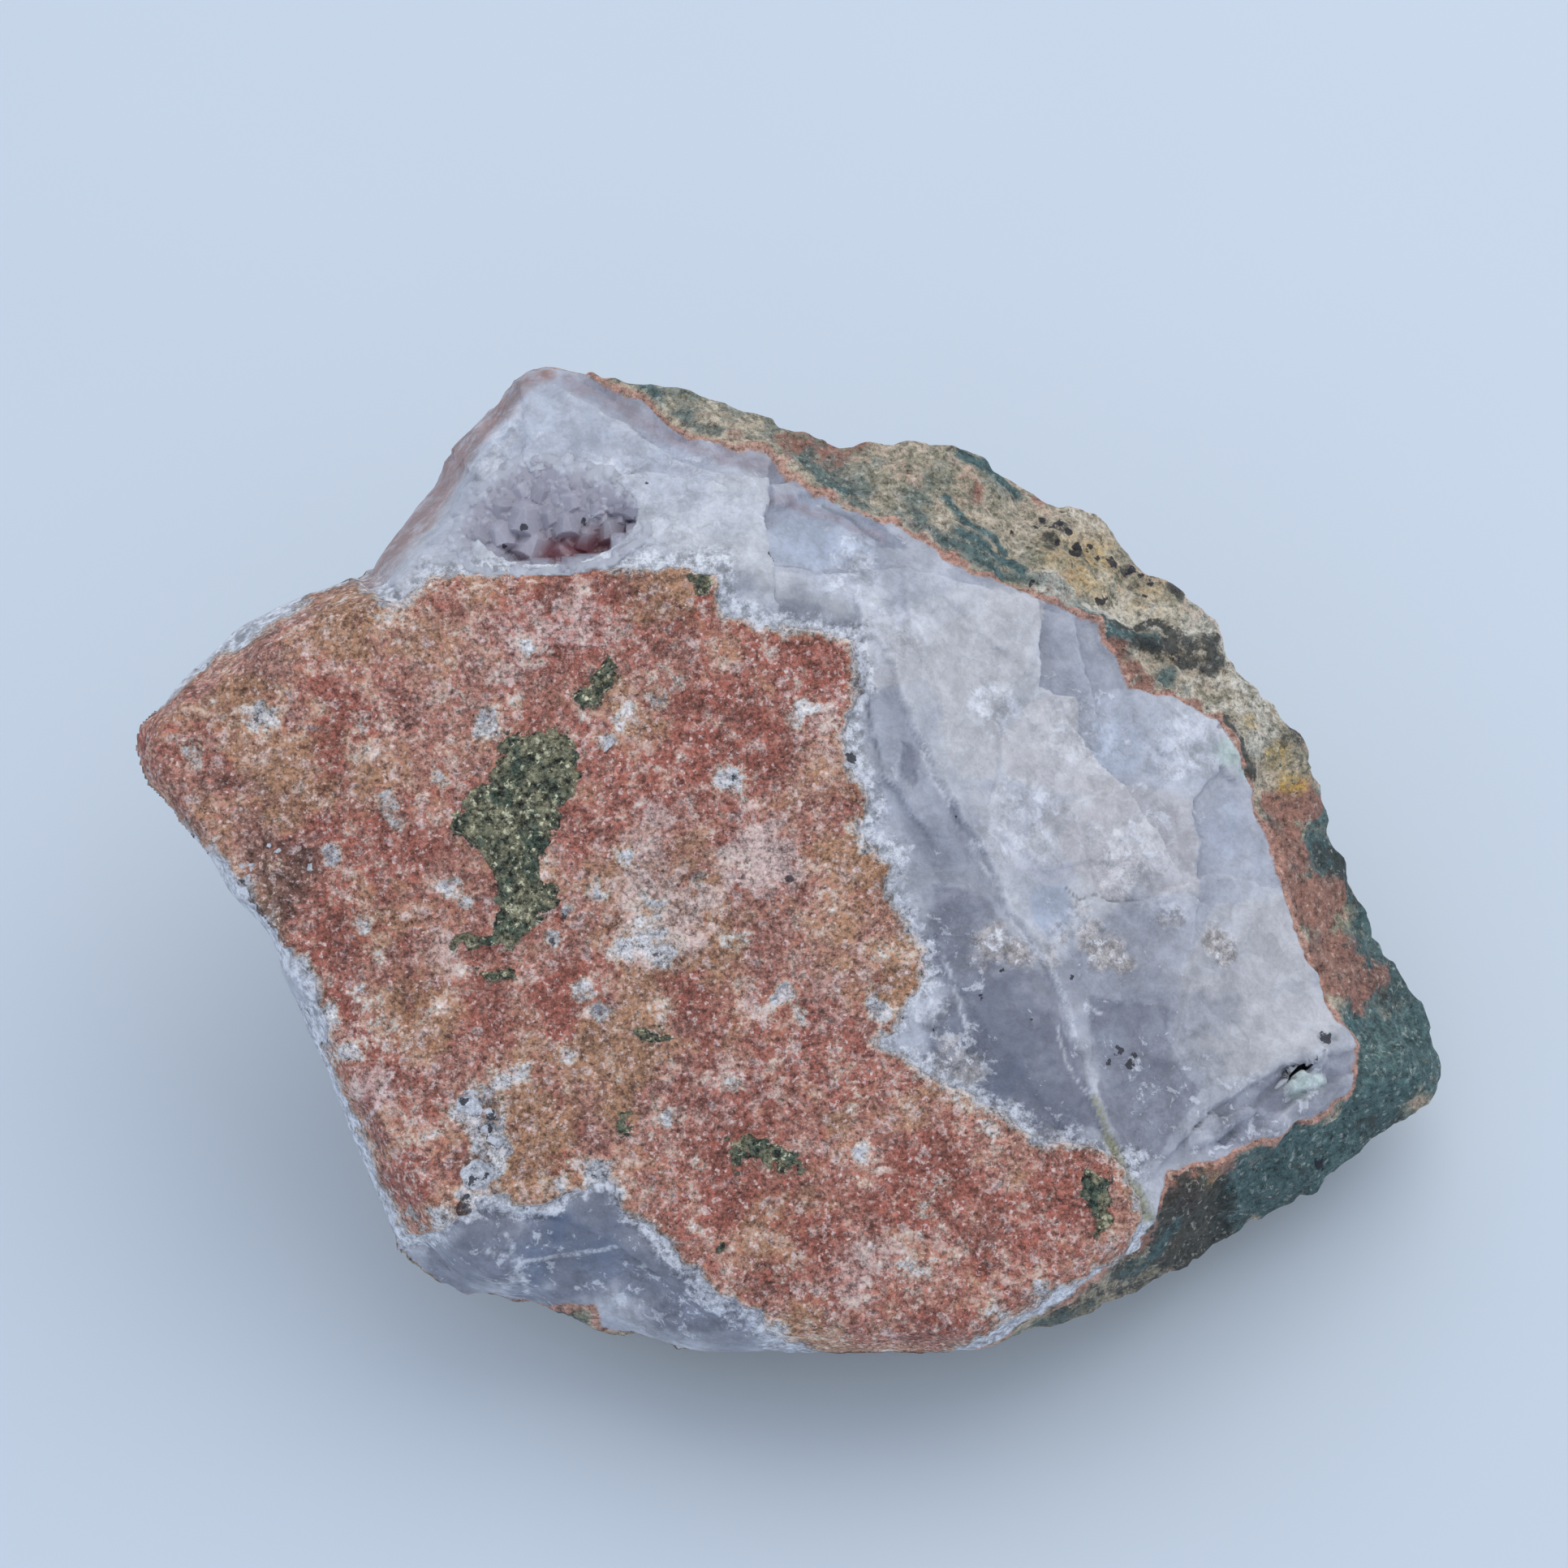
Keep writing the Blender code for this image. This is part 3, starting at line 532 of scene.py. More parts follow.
# Fine lines on the agate in photo pixels, with their half width in mm
cracks = (
    (((1064, 860), (1074, 890), (1088, 952)), 0.1),
    (((1313, 1092), (1328, 1108), (1345, 1104), (1372, 1110), (1400, 1108)), 0.07),
    (((1602, 1312), (1588, 1322), (1574, 1338), (1560, 1350), (1547, 1362)), 0.3),
    (((1626, 1279), (1645, 1279)), 0.25),
    (((1017, 620), (1050, 640), (1085, 663)), 0.14),
)
veins = (
    (((1345, 1350), (1356, 1374), (1364, 1396)), 0.12),
    (((1364, 1396), (1382, 1440), (1398, 1470)), 0.24),
    (((1398, 1470), (1414, 1502)), 0.5),
)
pinkVeins = (
    (((524, 1269), (506, 1284), (492, 1300), (484, 1318), (474, 1336), (466, 1362), (452, 1384)), 0.13),
)
whiteLines = (
    (((1212, 1062), (1240, 1110), (1250, 1138), (1290, 1185), (1310, 1230), (1324, 1275)), 0.14),
    (((1303, 1258), (1317, 1313), (1350, 1360), (1366, 1398)), 0.1),
    (((1160, 1180), (1182, 1232), (1194, 1272)), 0.15),
    (((1335, 1240), (1355, 1250)), 0.14),
    (((1140, 930), (1160, 970), (1172, 990)), 0.16),
    (((600, 1540), (640, 1555), (700, 1548), (760, 1540)), 0.14),
    (((622, 1520), (640, 1560), (650, 1590)), 0.16),
)
# Streaks of the host rock, each with its half width in mm
streaks = {
    "tealRock": (
        (((1215, 716), (1261, 738), (1300, 755), (1339, 771), (1372, 781), (1425, 786)), 0.75),
        (((1180, 560), (1225, 580), (1260, 610)), 0.35),
        (((1165, 615), (1200, 650), (1240, 680)), 0.3),
        (((1180, 655), (1230, 690), (1262, 700)), 0.3),
    ),
    "paleRock": (
        (((1300, 742), (1350, 758), (1389, 760), (1444, 755), (1480, 762)), 0.6),
        (((1272, 724), (1300, 728), (1322, 738)), 0.9),
        (((1500, 770), (1520, 820), (1540, 870), (1552, 900)), 1.6),
        (((1360, 712), (1380, 730)), 0.8),
    ),
    # dark rock, and painted shade in the rind's hollow
    "darkRockAndShade": (
        (((1339, 765), (1383, 770), (1433, 765), (1452, 778)), 0.28),
        (((1398, 792), (1440, 792), (1490, 790)), 0.7),
        (((1506, 890), (1525, 920), (1540, 955)), 0.7),
        (((1444, 727), (1452, 733)), 0.5),
    ),
}
# Bands at the edge of the broken agate: pink where its left side shows, mauve along the host rock
pinkBands = (
    (((446, 718), (470, 692), (502, 655), (538, 610), (552, 575), (604, 512), (640, 468), (668, 456)), 0.9),
)
mauveBands = (
    (((700, 466), (735, 480), (785, 512), (835, 545), (900, 566), (942, 576)), 0.5),
    (((950, 612), (1010, 628), (1090, 664)), 0.3),
)

# Fine shape that only the looks need, lengths in mm
detail = {
    "refineOver": (-99.0, -0.6),  # mm inside the agate from which faces are halved once, and once more
    "refineUnder": 0.9,  # mm inside the crust from which they are left as they are
    "refineFacing": (0.05, 0.42),  # least cosine between a face and the line of sight for each halving
    "settle": 5,
    "skinHeight": 0.5,  # the crust stands this far above the agate beside it
    "skinSpacing": 0.27,
    "skinDepth": 3.0,
    "skinOverlap": 1.9,  # the crust runs on under the agate this far past its outline
    "pocketGap": 0.6,  # and it ends this far from the pocket's outline
    "skinWaves": ((5.0, 0.28), (2.1, 0.26), (1.0, 0.20), (0.55, 0.12)),
    "rockWaves": ((8.0, 1.0), (3.4, 0.8), (1.6, 0.42), (0.8, 0.16)),
    "agateWaves": ((9.0, 0.16), (3.0, 0.05), (1.1, 0.02)),
    "frostWaves": ((1.6, 0.16), (0.8, 0.12)),
    "greenHeight": 0.45,
    "greenWaves": ((2.4, 0.3), (1.1, 0.3), (0.6, 0.15)),
    "stepEdge": 0.18,
    "stepRise": 1.5,  # the drawn steps rise this many times as high
    "paintedStepShading": 0.9,  # painted light and shade: a millimetre of rise paints the agate this much lighter, and a drop this much darker
    "fringeReach": (-3.0, -0.3),  # mm from the crust's edge over which its white fringe sets in
    "gridMargin": 2.0,
    "farOff": -20.0,  # what the sides turned away count as their distance inside the crust
}
# Sideways shifts that make drawn lines and rims ragged: wavelength and reach in mm, and a place in the noise
wavers = {
    "crustEdge": ((3.2, 0.8, (2.0, 8.0, 1.0)), (1.2, 0.55, (9.0, 3.0, 2.0))),
    "greenEdge": ((1.6, 0.8, (3.0, 1.0, 4.0)), (0.7, 0.4, (1.0, 3.0, 4.0))),
    "rockEdge": ((3.0, 0.7, (3.0, 5.0, 2.0)),),
    "steps": ((3.5, 0.5, (4.0, 6.0, 2.0)), (1.0, 0.2, (2.0, 6.0, 4.0))),
    "lines": ((2.0, 0.3, (6.0, 6.0, 1.0)),),
    "cracks": ((2.0, 0.25, (6.0, 6.0, 1.0)),),
    "pinkVeins": ((1.6, 0.4, (6.0, 6.0, 1.0)),),
    "spots": ((4.0, 1.0, (1.5, 0.5, 3.0)), (1.4, 0.7, (4.5, 0.5, 6.0))),
}


def layered(places, layers, seed):
    return sum(size * ripple(places, wavelength, seed) for wavelength, size in layers)


def waverAt(flat, wavelength, reachOut, seed):
    otherSeed = (seed[1] + 5.3, seed[2] + 1.7, seed[0] + 9.1)
    return reachOut * np.stack([ripple(flat, wavelength, seed), ripple(flat, wavelength, otherSeed)], 1)


def wavered(flat, name):
    return sum(waverAt(flat, *waver) for waver in wavers[name])


def lineDistance(shown, points):
    # mm from a drawn line
    path = fromPhoto(points)
    nearest = np.full(len(shown), 1e9)
    for a, b in zip(path, path[1:]):
        along = np.clip(((shown - a) @ (b - a)) / ((b - a) @ (b - a)), 0.0, 1.0)
        nearest = np.minimum(nearest, np.linalg.norm(shown - a - along[:, None] * (b - a), axis=1))
    return nearest


def lineMask(shown, lines):
    # 1 on the drawn lines, falling to 0 at their edges
    found = np.zeros(len(shown))
    for points, width in lines:
        found = np.maximum(found, smoothStep(-lineDistance(shown, points), -2.2 * width, -0.6 * width))
    return found


def stepHeight(shown, points, rise, reachOut):
    path = fromPhoto(points)
    nearest = np.full(len(shown), 1e9)
    side = np.zeros(len(shown))
    beyond = np.zeros(len(shown))
    for a, b in zip(path, path[1:]):
        run = b - a
        along = ((shown - a) @ run) / (run @ run)
        away = shown - a - np.clip(along, 0.0, 1.0)[:, None] * run
        distance = np.linalg.norm(away, axis=1)
        closer = distance < nearest
        across = (run[0] * (shown - a)[:, 1] - run[1] * (shown - a)[:, 0]) / math.hypot(*run)
        nearest = np.where(closer, distance, nearest)
        side = np.where(closer, across, side)
        past = np.maximum(-along if a is path[0] else 0.0, along - 1.0 if b is path[-1] else 0.0)
        beyond = np.where(closer, np.maximum(past, 0.0) * math.hypot(*run), beyond)
    edge = detail["stepEdge"]
    fading = np.exp(-((nearest / reachOut) ** 1.5)) * smoothStep(-beyond, -1.2, 0.0)
    return detail["stepRise"] * rise * fading * (smoothStep(side, -edge, edge) - 0.5)


def facetMasks(shown, flat):
    width = 0.2 + 0.9 * smoothStep(ripple(flat, 6.5, (2.5, 4.5, 6.5)), -0.15, 0.5)
    light = np.zeros(len(shown))
    warmth = np.zeros(len(shown))
    for outline, lighter, warmer in facets:
        inside = smoothStep(signedDistance(shown, outline) / width, -0.4, 0.9)
        # partly the agate's own tone, partly painted light and shade of facets turned towards or away from
        # the light
        light += inside * lighter
        warmth += inside * warmer
    return light, warmth


def brokenHeight(shown):
    height = sum(stepHeight(shown, *step) for step in steps)
    for outline, rise in chips:
        height += rise * smoothStep(signedDistance(shown, outline), -0.15, 0.25)
    return height


def flatPlaces(shown, places):
    # where the noise of drawn edges is read: as the eye sees it, with half the depth
    return np.stack([shown[:, 0], shown[:, 1], places[:, 2] * 0.5], 1)


def crustDistance(shown, flat):
    rim = areaDistance(shown + wavered(flat, "crustEdge"), "crust")
    return rim + 0.3 * ripple(flat, 0.7, (1.0, 1.0, 6.0))


def refineSeenFaces(mesh):
    # the broken faces that the eye sees are halved, those of the agate twice, those under the crust never
    bm = bmesh.new()
    bm.from_mesh(mesh)
    eye = Vector((0.0, 0.0, stance["sightHeight"]))
    for over, least in zip(detail["refineOver"], detail["refineFacing"]):
        bm.normal_update()
        middles = np.array([face.calc_center_median() for face in bm.faces])
        shown = sight(middles)
        fine = np.maximum(areaDistance(shown, "agate"), areaDistance(shown, "dottedRock"))
        wanted = (areaDistance(shown, "crust") < detail["refineUnder"]) & (fine > over)
        seen = [face for face, want in zip(bm.faces, wanted)
                if want and face.normal.dot((eye - face.calc_center_median()).normalized()) > least]
        edges = list(dict.fromkeys(edge for face in seen for edge in face.edges))
        bmesh.ops.subdivide_edges(bm, edges=edges, cuts=1, use_grid_fill=True)
        bmesh.ops.triangulate(bm, faces=[face for face in bm.faces if len(face.verts) > 4])
    allAxes = {"use_axis_x": True, "use_axis_y": True, "use_axis_z": True}
    for _ in range(detail["settle"]):
        bmesh.ops.smooth_vert(bm, verts=bm.verts, factor=0.5, **allAxes)
    bm.to_mesh(mesh)
    bm.free()


def towardsEye(places):
    away = np.array((0.0, 0.0, stance["sightHeight"])) - places
    return away / np.linalg.norm(away, axis=1)[:, None]


def rockDistance(places, shown, flat, front):
    # mm into the host rock: past the drawn agate where the eye sees it, below the contact elsewhere
    drawn = -areaDistance(shown + wavered(flat, "rockEdge"), "agate")
    below = contactDepth(places) - places[:, 2]
    return drawn * front + below * (1.0 - front) + 0.16 * ripple(places, 1.4, (9.0, 3.0, 2.0))


def dressStone(mesh):
    # relief of the agate and the host rock, and the masks that their material reads
    places, normals = getPlaces(mesh), getNormals(mesh)
    shown = sight(places)
    flat = flatPlaces(shown, places)
    facing = (normals * towardsEye(places)).sum(1)
    front = smoothStep(facing, -0.05, 0.1)
    turned = smoothStep(facing + 0.5 * ripple(places, 7.0, (3.0, 7.0, 1.0)), -0.42, -0.22)
    crust = np.where(front > 0.0, crustDistance(shown, flat), detail["farOff"])
    rock = rockDistance(places, shown, flat, front)
    ragged = wavered(flat, "spots")
    fringe = smoothStep(crust + 1.5 * ripple(flat, 5.0, (7.0, 1.0, 5.0)), *detail["fringeReach"]) * front
    crack = lineMask(shown + wavered(flat, "cracks"), cracks) * front
    wandering = shown + wavered(flat, "steps")
    broken = brokenHeight(wandering)
    light, warmth = facetMasks(wandering, flat)
    # painted light and shade: the raised side of each step and chip is painted lighter, the lower side darker
    light += detail["paintedStepShading"] * broken
    alongLines = shown + wavered(flat, "lines")

    masks = {
        "rockEdge": rock,
        "fringe": fringe,
        "crack": crack,
        # the facets' tone with the painted light and shade of facets, steps and chips
        "light": light * front,
        "warmth": warmth * front,
        "whiteLine": lineMask(alongLines, whiteLines) * front,
        "pinkBand": lineMask(shown + 0.5 * ragged, pinkBands) * front,
        "mauveBand": lineMask(shown + 0.5 * ragged, mauveBands) * front,
        "vein": lineMask(alongLines, veins) * front,
    }
    for name in ("clear", "frosty", "sugary", "speck", "warm", "blue", "deepBlueShade", "mint"):
        masks[name] = spotMask(shown, name, ragged) * front
    for name in ("redRock", "tealRock", "darkRockAndShade", "paleRock", "yellowRock"):
        lines = lineMask(shown + 0.35 * ragged, streaks.get(name, ()))
        masks[name] = np.maximum(spotMask(shown, name, ragged), lines) * turned
    for name, values in masks.items():
        addMask(mesh, name, values)

    sugar = np.clip(fringe + 0.6 * masks["frosty"] + 1.3 * spotMask(shown, "sugary", ragged), 0.0, 1.0)
    agate = layered(places, detail["agateWaves"], (1.0, 7.0, 4.0))
    agate += sugar * layered(places, detail["frostWaves"], (8.0, 1.0, 1.0))
    agate += front * broken - 0.2 * crack
    onRock = smoothStep(rock, -0.3, 0.4)
    height = onRock * layered(places, detail["rockWaves"], (6.0, 2.0, 5.0)) + (1.0 - onRock) * agate
    height *= 1.0 - smoothStep(crust, 0.0, 1.0)
    setPlaces(mesh, places + normals * height[:, None])


def castGrid(base, outline, step, wanted):
    # rays from the eye find the stone's face under a fine grid
    corners = [vert.co for vert in base.vertices]
    tree = BVHTree.FromPolygons(corners, [face.vertices for face in base.polygons])
    eye = Vector((0.0, 0.0, stance["sightHeight"]))
    low, high = outline.min(0) - detail["gridMargin"], outline.max(0) + detail["gridMargin"]
    across, down = (np.ceil((high - low) / step)).astype(int)
    grid = np.stack(np.meshgrid(np.arange(across), np.arange(down), indexing="ij"), -1).reshape(-1, 2)
    shown = low + grid * step
    near = wanted(shown)
    grid, shown = grid[near], shown[near]
    hits = [tree.ray_cast(eye, Vector((x, y, -stance["sightHeight"])).normalized()) for x, y in shown]
    found = np.array([hit[0] is not None for hit in hits])
    grid, shown = grid[found], shown[found]
    places = np.array([hit[0] for hit in hits if hit[0] is not None])
    normals = np.array([hit[1] for hit in hits if hit[0] is not None])
    index = -np.ones((across + 1, down + 1), int)
    index[grid[:, 0], grid[:, 1]] = np.arange(len(grid))
    faces = np.stack([index[:-1, :-1], index[1:, :-1], index[1:, 1:], index[:-1, 1:]], -1).reshape(-1, 4)
    return shown, places, normals, faces[(faces >= 0).all(1)]


def skinWanted(shown):
    nearCrust = areaDistance(shown, "crust") > -detail["skinOverlap"]
    return nearCrust & (areaDistance(shown, "pocket") < -detail["pocketGap"])


def makeCrustMesh(base):
    outline = fromPhoto(areas["crust"][0])
    shown, places, normals, corners = castGrid(base, outline, detail["skinSpacing"], skinWanted)
    flat = flatPlaces(shown, places)
    crust = crustDistance(shown, flat)
    green = areaDistance(shown + wavered(flat, "greenEdge"), "celadonite")
    onGreen = smoothStep(green, 0.0, 0.7)
    ragged = wavered(flat, "spots")
    specks = spotMask(shown, "speck", ragged)
    vein = lineMask(shown + wavered(flat, "pinkVeins"), pinkVeins)
    height = detail["skinHeight"] + layered(flat, detail["skinWaves"], (4.0, 4.0, 1.0))
    height -= 0.35 * spotMask(shown, "brown", ragged) - 0.2 * spotMask(shown, "pale", ragged)
    height += onGreen * (detail["greenHeight"] + layered(flat, detail["greenWaves"], (3.0, 3.0, 3.0)))
    height -= 0.5 * specks
    height = height * smoothStep(crust, -0.15, 0.45) - 1.6 * smoothStep(-crust, 0.0, 0.8)
    up = normals * 0.4 + np.array((0.0, 0.0, 0.6))
    up /= np.linalg.norm(up, axis=1)[:, None]
    places += up * height[:, None]

    mesh = bpy.data.meshes.new("crustSkin")
    mesh.from_pydata(places.tolist(), [], corners.tolist())
    for name, values in {"crustEdge": crust, "greenEdge": green, "speck": specks, "vein": vein}.items():
        addMask(mesh, name, values)
    for name in ("pale", "brown", "ochre", "red", "window"):
        addMask(mesh, name, spotMask(shown, name, ragged))
    closeUnder(mesh, outline.mean(0))
    return mesh


def closeUnder(mesh, middle):
    # a wall down from the grid's rim, leaning in, and a flat underside inside the stone
    bm = bmesh.new()
    bm.from_mesh(mesh)
    bmesh.ops.delete(bm, geom=[vert for vert in bm.verts if not vert.link_faces], context="VERTS")
    rim = [edge for edge in bm.edges if edge.is_boundary]
    wall = bmesh.ops.extrude_edge_only(bm, edges=rim)["geom"]
    lower = [item for item in wall if isinstance(item, bmesh.types.BMVert)]
    for vert in lower:
        inward = Vector((middle[0] - vert.co.x, middle[1] - vert.co.y, 0.0))
        vert.co += inward.normalized() * detail["skinDepth"]
        vert.co.z = -detail["skinDepth"]
    foot = [item for item in wall if isinstance(item, bmesh.types.BMEdge) and item.is_boundary]
    bmesh.ops.triangle_fill(bm, edges=foot, use_beauty=False)
    bmesh.ops.recalc_face_normals(bm, faces=bm.faces)
    bm.to_mesh(mesh)
    bm.free()


def standUp(mesh):
    # from the stone's own axes in mm to the frame in metres, and down on its flat foot
    mesh.transform(standingMatrix() @ Matrix.Scale(mm, 4))
    places = getPlaces(mesh)
    places[:, 2] = np.maximum(places[:, 2], 0.0)
    setPlaces(mesh, places)


# Tints and marks on the seen side: (middle x, middle y, radius, strength), all in photo pixels
spots = {
    "pale": (
        (935, 1050, 55, 1.0), (800, 1050, 30, 0.7), (820, 1130, 75, 0.8), (700, 770, 60, 0.5),
        (640, 800, 60, 0.4), (460, 1340, 30, 0.6), (1000, 905, 40, 0.4), (810, 1000, 30, 0.6),
        (1010, 1230, 40, 0.5), (1060, 1560, 50, 0.5), (540, 1180, 30, 0.5), (900, 1350, 60, 0.3),
    ),
    "brown": (
        (350, 1080, 60, 1.0), (320, 1050, 40, 0.8), (470, 1400, 50, 0.4), (600, 1400, 60, 0.5),
        (330, 1130, 45, 0.8), (1000, 820, 50, 0.4), (250, 960, 60, 0.4),
    ),
    "ochre": (
        (830, 1150, 90, 0.8), (760, 1290, 80, 0.7), (640, 1380, 70, 0.6), (1080, 1050, 60, 0.8),
        (960, 1500, 70, 0.5), (1120, 1200, 50, 0.8), (820, 740, 50, 0.7), (520, 1250, 60, 0.6),
        (430, 760, 50, 0.7), (380, 960, 80, 0.5), (660, 1450, 60, 0.9), (1000, 1640, 50, 0.6),
        (290, 880, 50, 0.4), (450, 1130, 60, 0.4),
    ),
    "red": (
        (1010, 830, 60, 1.0), (960, 760, 50, 0.8), (760, 950, 80, 0.7), (880, 900, 80, 0.7),
        (620, 730, 60, 0.5), (700, 1010, 60, 0.5), (1130, 1450, 80, 0.6), (1290, 1500, 70, 0.6),
        (1000, 1560, 60, 0.5), (430, 830, 70, 0.5), (700, 1230, 50, 0.6), (870, 740, 25, 0.9),
        (500, 1450, 40, 0.5), (390, 1200, 60, 0.5),
    ),
    "window": (
        (600, 890, 24, 1.0), (640, 862, 14, 0.7), (775, 885, 20, 1.0), (810, 865, 18, 1.0),
        (750, 912, 14, 0.8), (895, 958, 16, 1.0), (770, 1060, 14, 0.9), (735, 1095, 16, 0.9),
        (800, 1130, 34, 0.8), (780, 1160, 30, 0.9), (820, 1172, 22, 1.0), (860, 1080, 14, 1.0),
        (905, 1160, 20, 0.8), (700, 1120, 12, 0.9), (682, 1155, 14, 1.0), (480, 990, 20, 0.9),
        (410, 1052, 18, 0.8), (322, 885, 22, 1.0), (560, 1092, 20, 1.0), (575, 1110, 14, 0.9),
        (490, 1010, 14, 0.8), (345, 850, 12, 0.6), (450, 1140, 16, 0.8), (470, 1175, 14, 0.8),
        (720, 1222, 16, 0.8), (740, 1248, 16, 0.9), (965, 1225, 20, 0.9), (985, 1245, 14, 0.8),
        (1075, 1030, 24, 0.9), (1048, 1015, 18, 0.8), (975, 885, 20, 0.9), (1000, 870, 14, 0.7),
        (930, 1130, 18, 0.6), (590, 1370, 34, 1.0), (604, 1420, 32, 1.0), (590, 1400, 30, 1.0),
        (615, 1330, 18, 0.7), (575, 1480, 26, 1.0), (550, 1500, 26, 1.0), (430, 1295, 16, 0.9),
        (402, 1250, 20, 1.0), (405, 1300, 18, 0.9), (440, 1220, 14, 0.7), (640, 1318, 16, 0.7),
        (690, 1460, 18, 0.8), (735, 1450, 20, 0.9), (760, 1470, 16, 0.9), (1050, 1360, 14, 0.6),
        (1060, 1420, 14, 0.6), (1120, 1560, 18, 0.5), (860, 1430, 14, 0.5), (830, 1380, 16, 0.6),
        (905, 1340, 14, 0.5), (700, 1300, 16, 0.6), (960, 1570, 16, 0.6), (1290, 1590, 24, 0.8),
        (1230, 1620, 22, 0.8), (330, 1130, 20, 0.9), (300, 1095, 18, 0.9), (380, 1190, 16, 0.7),
        (960, 1640, 18, 0.8), (900, 1605, 18, 0.8), (640, 1260, 12, 0.5), (240, 930, 16, 0.6),
        (490, 860, 12, 0.6), (545, 960, 16, 0.6), (1010, 1200, 12, 0.6), (1085, 1240, 20, 0.9),
        (1080, 1280, 14, 0.8), (650, 800, 14, 0.6),
    ),
    "clear": (
        (1430, 1290, 120, 0.4), (1430, 1370, 80, 0.45), (1400, 1150, 60, 0.45), (1540, 1390, 60, 0.6),
        (1620, 1340, 50, 0.6), (1380, 1220, 70, 0.45), (1330, 1200, 60, 0.5), (1170, 1140, 50, 0.6),
        (560, 560, 60, 0.2), (1150, 1060, 50, 0.35), (1180, 1180, 60, 0.6), (1220, 1290, 80, 0.95),
        (1290, 1380, 60, 0.9), (1360, 1440, 40, 0.7), (980, 750, 40, 0.5), (1030, 800, 40, 0.7),
        (900, 725, 30, 0.4), (700, 1540, 90, 0.95), (600, 1530, 60, 0.9), (1050, 960, 20, 0.8),
        (860, 1600, 70, 0.9), (770, 1500, 60, 0.9), (560, 1560, 50, 0.7), (800, 1560, 60, 0.8),
        (1000, 1650, 60, 0.8), (480, 745, 25, 0.6), (690, 1500, 50, 0.5), (900, 1630, 50, 0.5),
        (1100, 700, 60, 0.2), (1380, 1290, 60, 0.4),
    ),
    "warm": (
        (1185, 1165, 50, 0.8), (1370, 1065, 60, 0.9), (1320, 1010, 60, 0.6), (1180, 850, 50, 0.3),
        (600, 1525, 40, 1.0), (800, 1590, 50, 0.7), (1400, 1150, 60, 0.6), (1350, 1060, 60, 0.5),
        (1500, 1220, 90, 0.4), (1240, 1170, 50, 0.6), (1180, 1130, 40, 0.5), (1300, 1230, 40, 0.4),
        (1100, 800, 40, 0.4),
    ),
    "blue": (
        (1290, 1120, 30, 0.6), (1370, 1285, 20, 0.5), (1410, 1120, 40, 0.4), (1000, 650, 60, 1.0),
        (1050, 690, 60, 0.8), (830, 590, 60, 0.7), (700, 520, 70, 0.7), (600, 620, 40, 0.5),
        (560, 660, 40, 0.5), (700, 1530, 90, 0.5), (1150, 720, 60, 0.4), (640, 560, 40, 0.6),
        (900, 640, 40, 0.4),
    ),
    # painted shade: deep blue on the chamfer that turns down, away from the light, and on one spot of the
    # break
    "deepBlueShade": (
        (691, 1512, 46, 1.0), (740, 1535, 40, 0.6), (655, 1562, 36, 0.6), (1240, 1330, 30, 0.5),
    ),
    "mint": (
        (1512, 928, 20, 1.0), (1530, 950, 14, 0.8), (1604, 1334, 18, 1.0), (1624, 1330, 12, 0.8),
    ),
    "frosty": (
        (830, 640, 110, 0.3), (740, 600, 50, 0.7), (1225, 870, 35, 0.9), (1180, 1150, 60, 0.2),
        (1160, 1220, 50, 0.3), (1330, 900, 60, 0.5), (1460, 920, 50, 0.7), (1050, 700, 50, 0.6),
        (600, 540, 60, 0.5), (1400, 1050, 60, 0.5), (1260, 1020, 60, 0.5), (700, 705, 50, 0.8),
        (1440, 1330, 90, 0.3), (1100, 780, 50, 0.4), (1610, 1335, 30, 0.7), (1540, 1395, 60, 0.5),
        (640, 1560, 60, 0.6), (760, 1580, 60, 0.5), (830, 1630, 60, 0.5), (1190, 1300, 40, 0.8),
        (1150, 1250, 40, 0.8),
    ),
    "sugary": (
        (1222, 1160, 26, 0.9), (1250, 1175, 26, 0.9), (1205, 1185, 16, 0.6), (1340, 1150, 24, 0.8),
        (1362, 1172, 26, 1.0), (1385, 1190, 16, 0.8), (1330, 1120, 16, 0.5), (1498, 1160, 22, 0.9),
        (1508, 1175, 16, 0.8), (1380, 1080, 40, 0.4), (1180, 1310, 36, 0.7), (1280, 1420, 40, 0.5),
        (1290, 1185, 20, 0.5), (1300, 1150, 18, 0.5), (1440, 1130, 26, 0.5),
    ),
    "speck": (
        (1047, 932, 11, 1.0), (1235, 1196, 6, 0.8), (1208, 1231, 7, 0.9), (1270, 1257, 6, 0.8),
        (1379, 1294, 9, 0.9), (1397, 1302, 9, 0.9), (1366, 1308, 8, 0.8), (1392, 1314, 10, 0.9),
        (1318, 1204, 6, 0.8), (950, 686, 9, 1.0), (797, 599, 5, 0.8), (322, 888, 16, 0.7),
        (574, 1362, 12, 1.0), (584, 1368, 11, 1.0), (604, 1374, 9, 1.0), (600, 1390, 9, 1.0),
        (606, 1404, 9, 1.0), (614, 1408, 9, 1.0), (587, 1452, 18, 1.0), (594, 1444, 14, 1.0),
        (568, 1490, 13, 1.0), (574, 1478, 12, 0.9), (748, 922, 8, 1.0), (752, 915, 8, 1.0),
        (860, 1080, 9, 0.7), (735, 1250, 9, 0.8), (680, 1160, 8, 0.8), (694, 1128, 8, 0.9),
        (810, 1175, 9, 0.8), (972, 1080, 8, 0.9), (1110, 1255, 11, 0.8), (1621, 1434, 9, 1.0),
        (1185, 1005, 9, 0.7), (1635, 1279, 11, 1.0), (1502, 1080, 8, 0.7), (1520, 1090, 6, 0.7),
        (1480, 1072, 6, 0.6), (255, 1000, 14, 0.6), (300, 1080, 18, 0.6), (330, 1150, 16, 0.6),
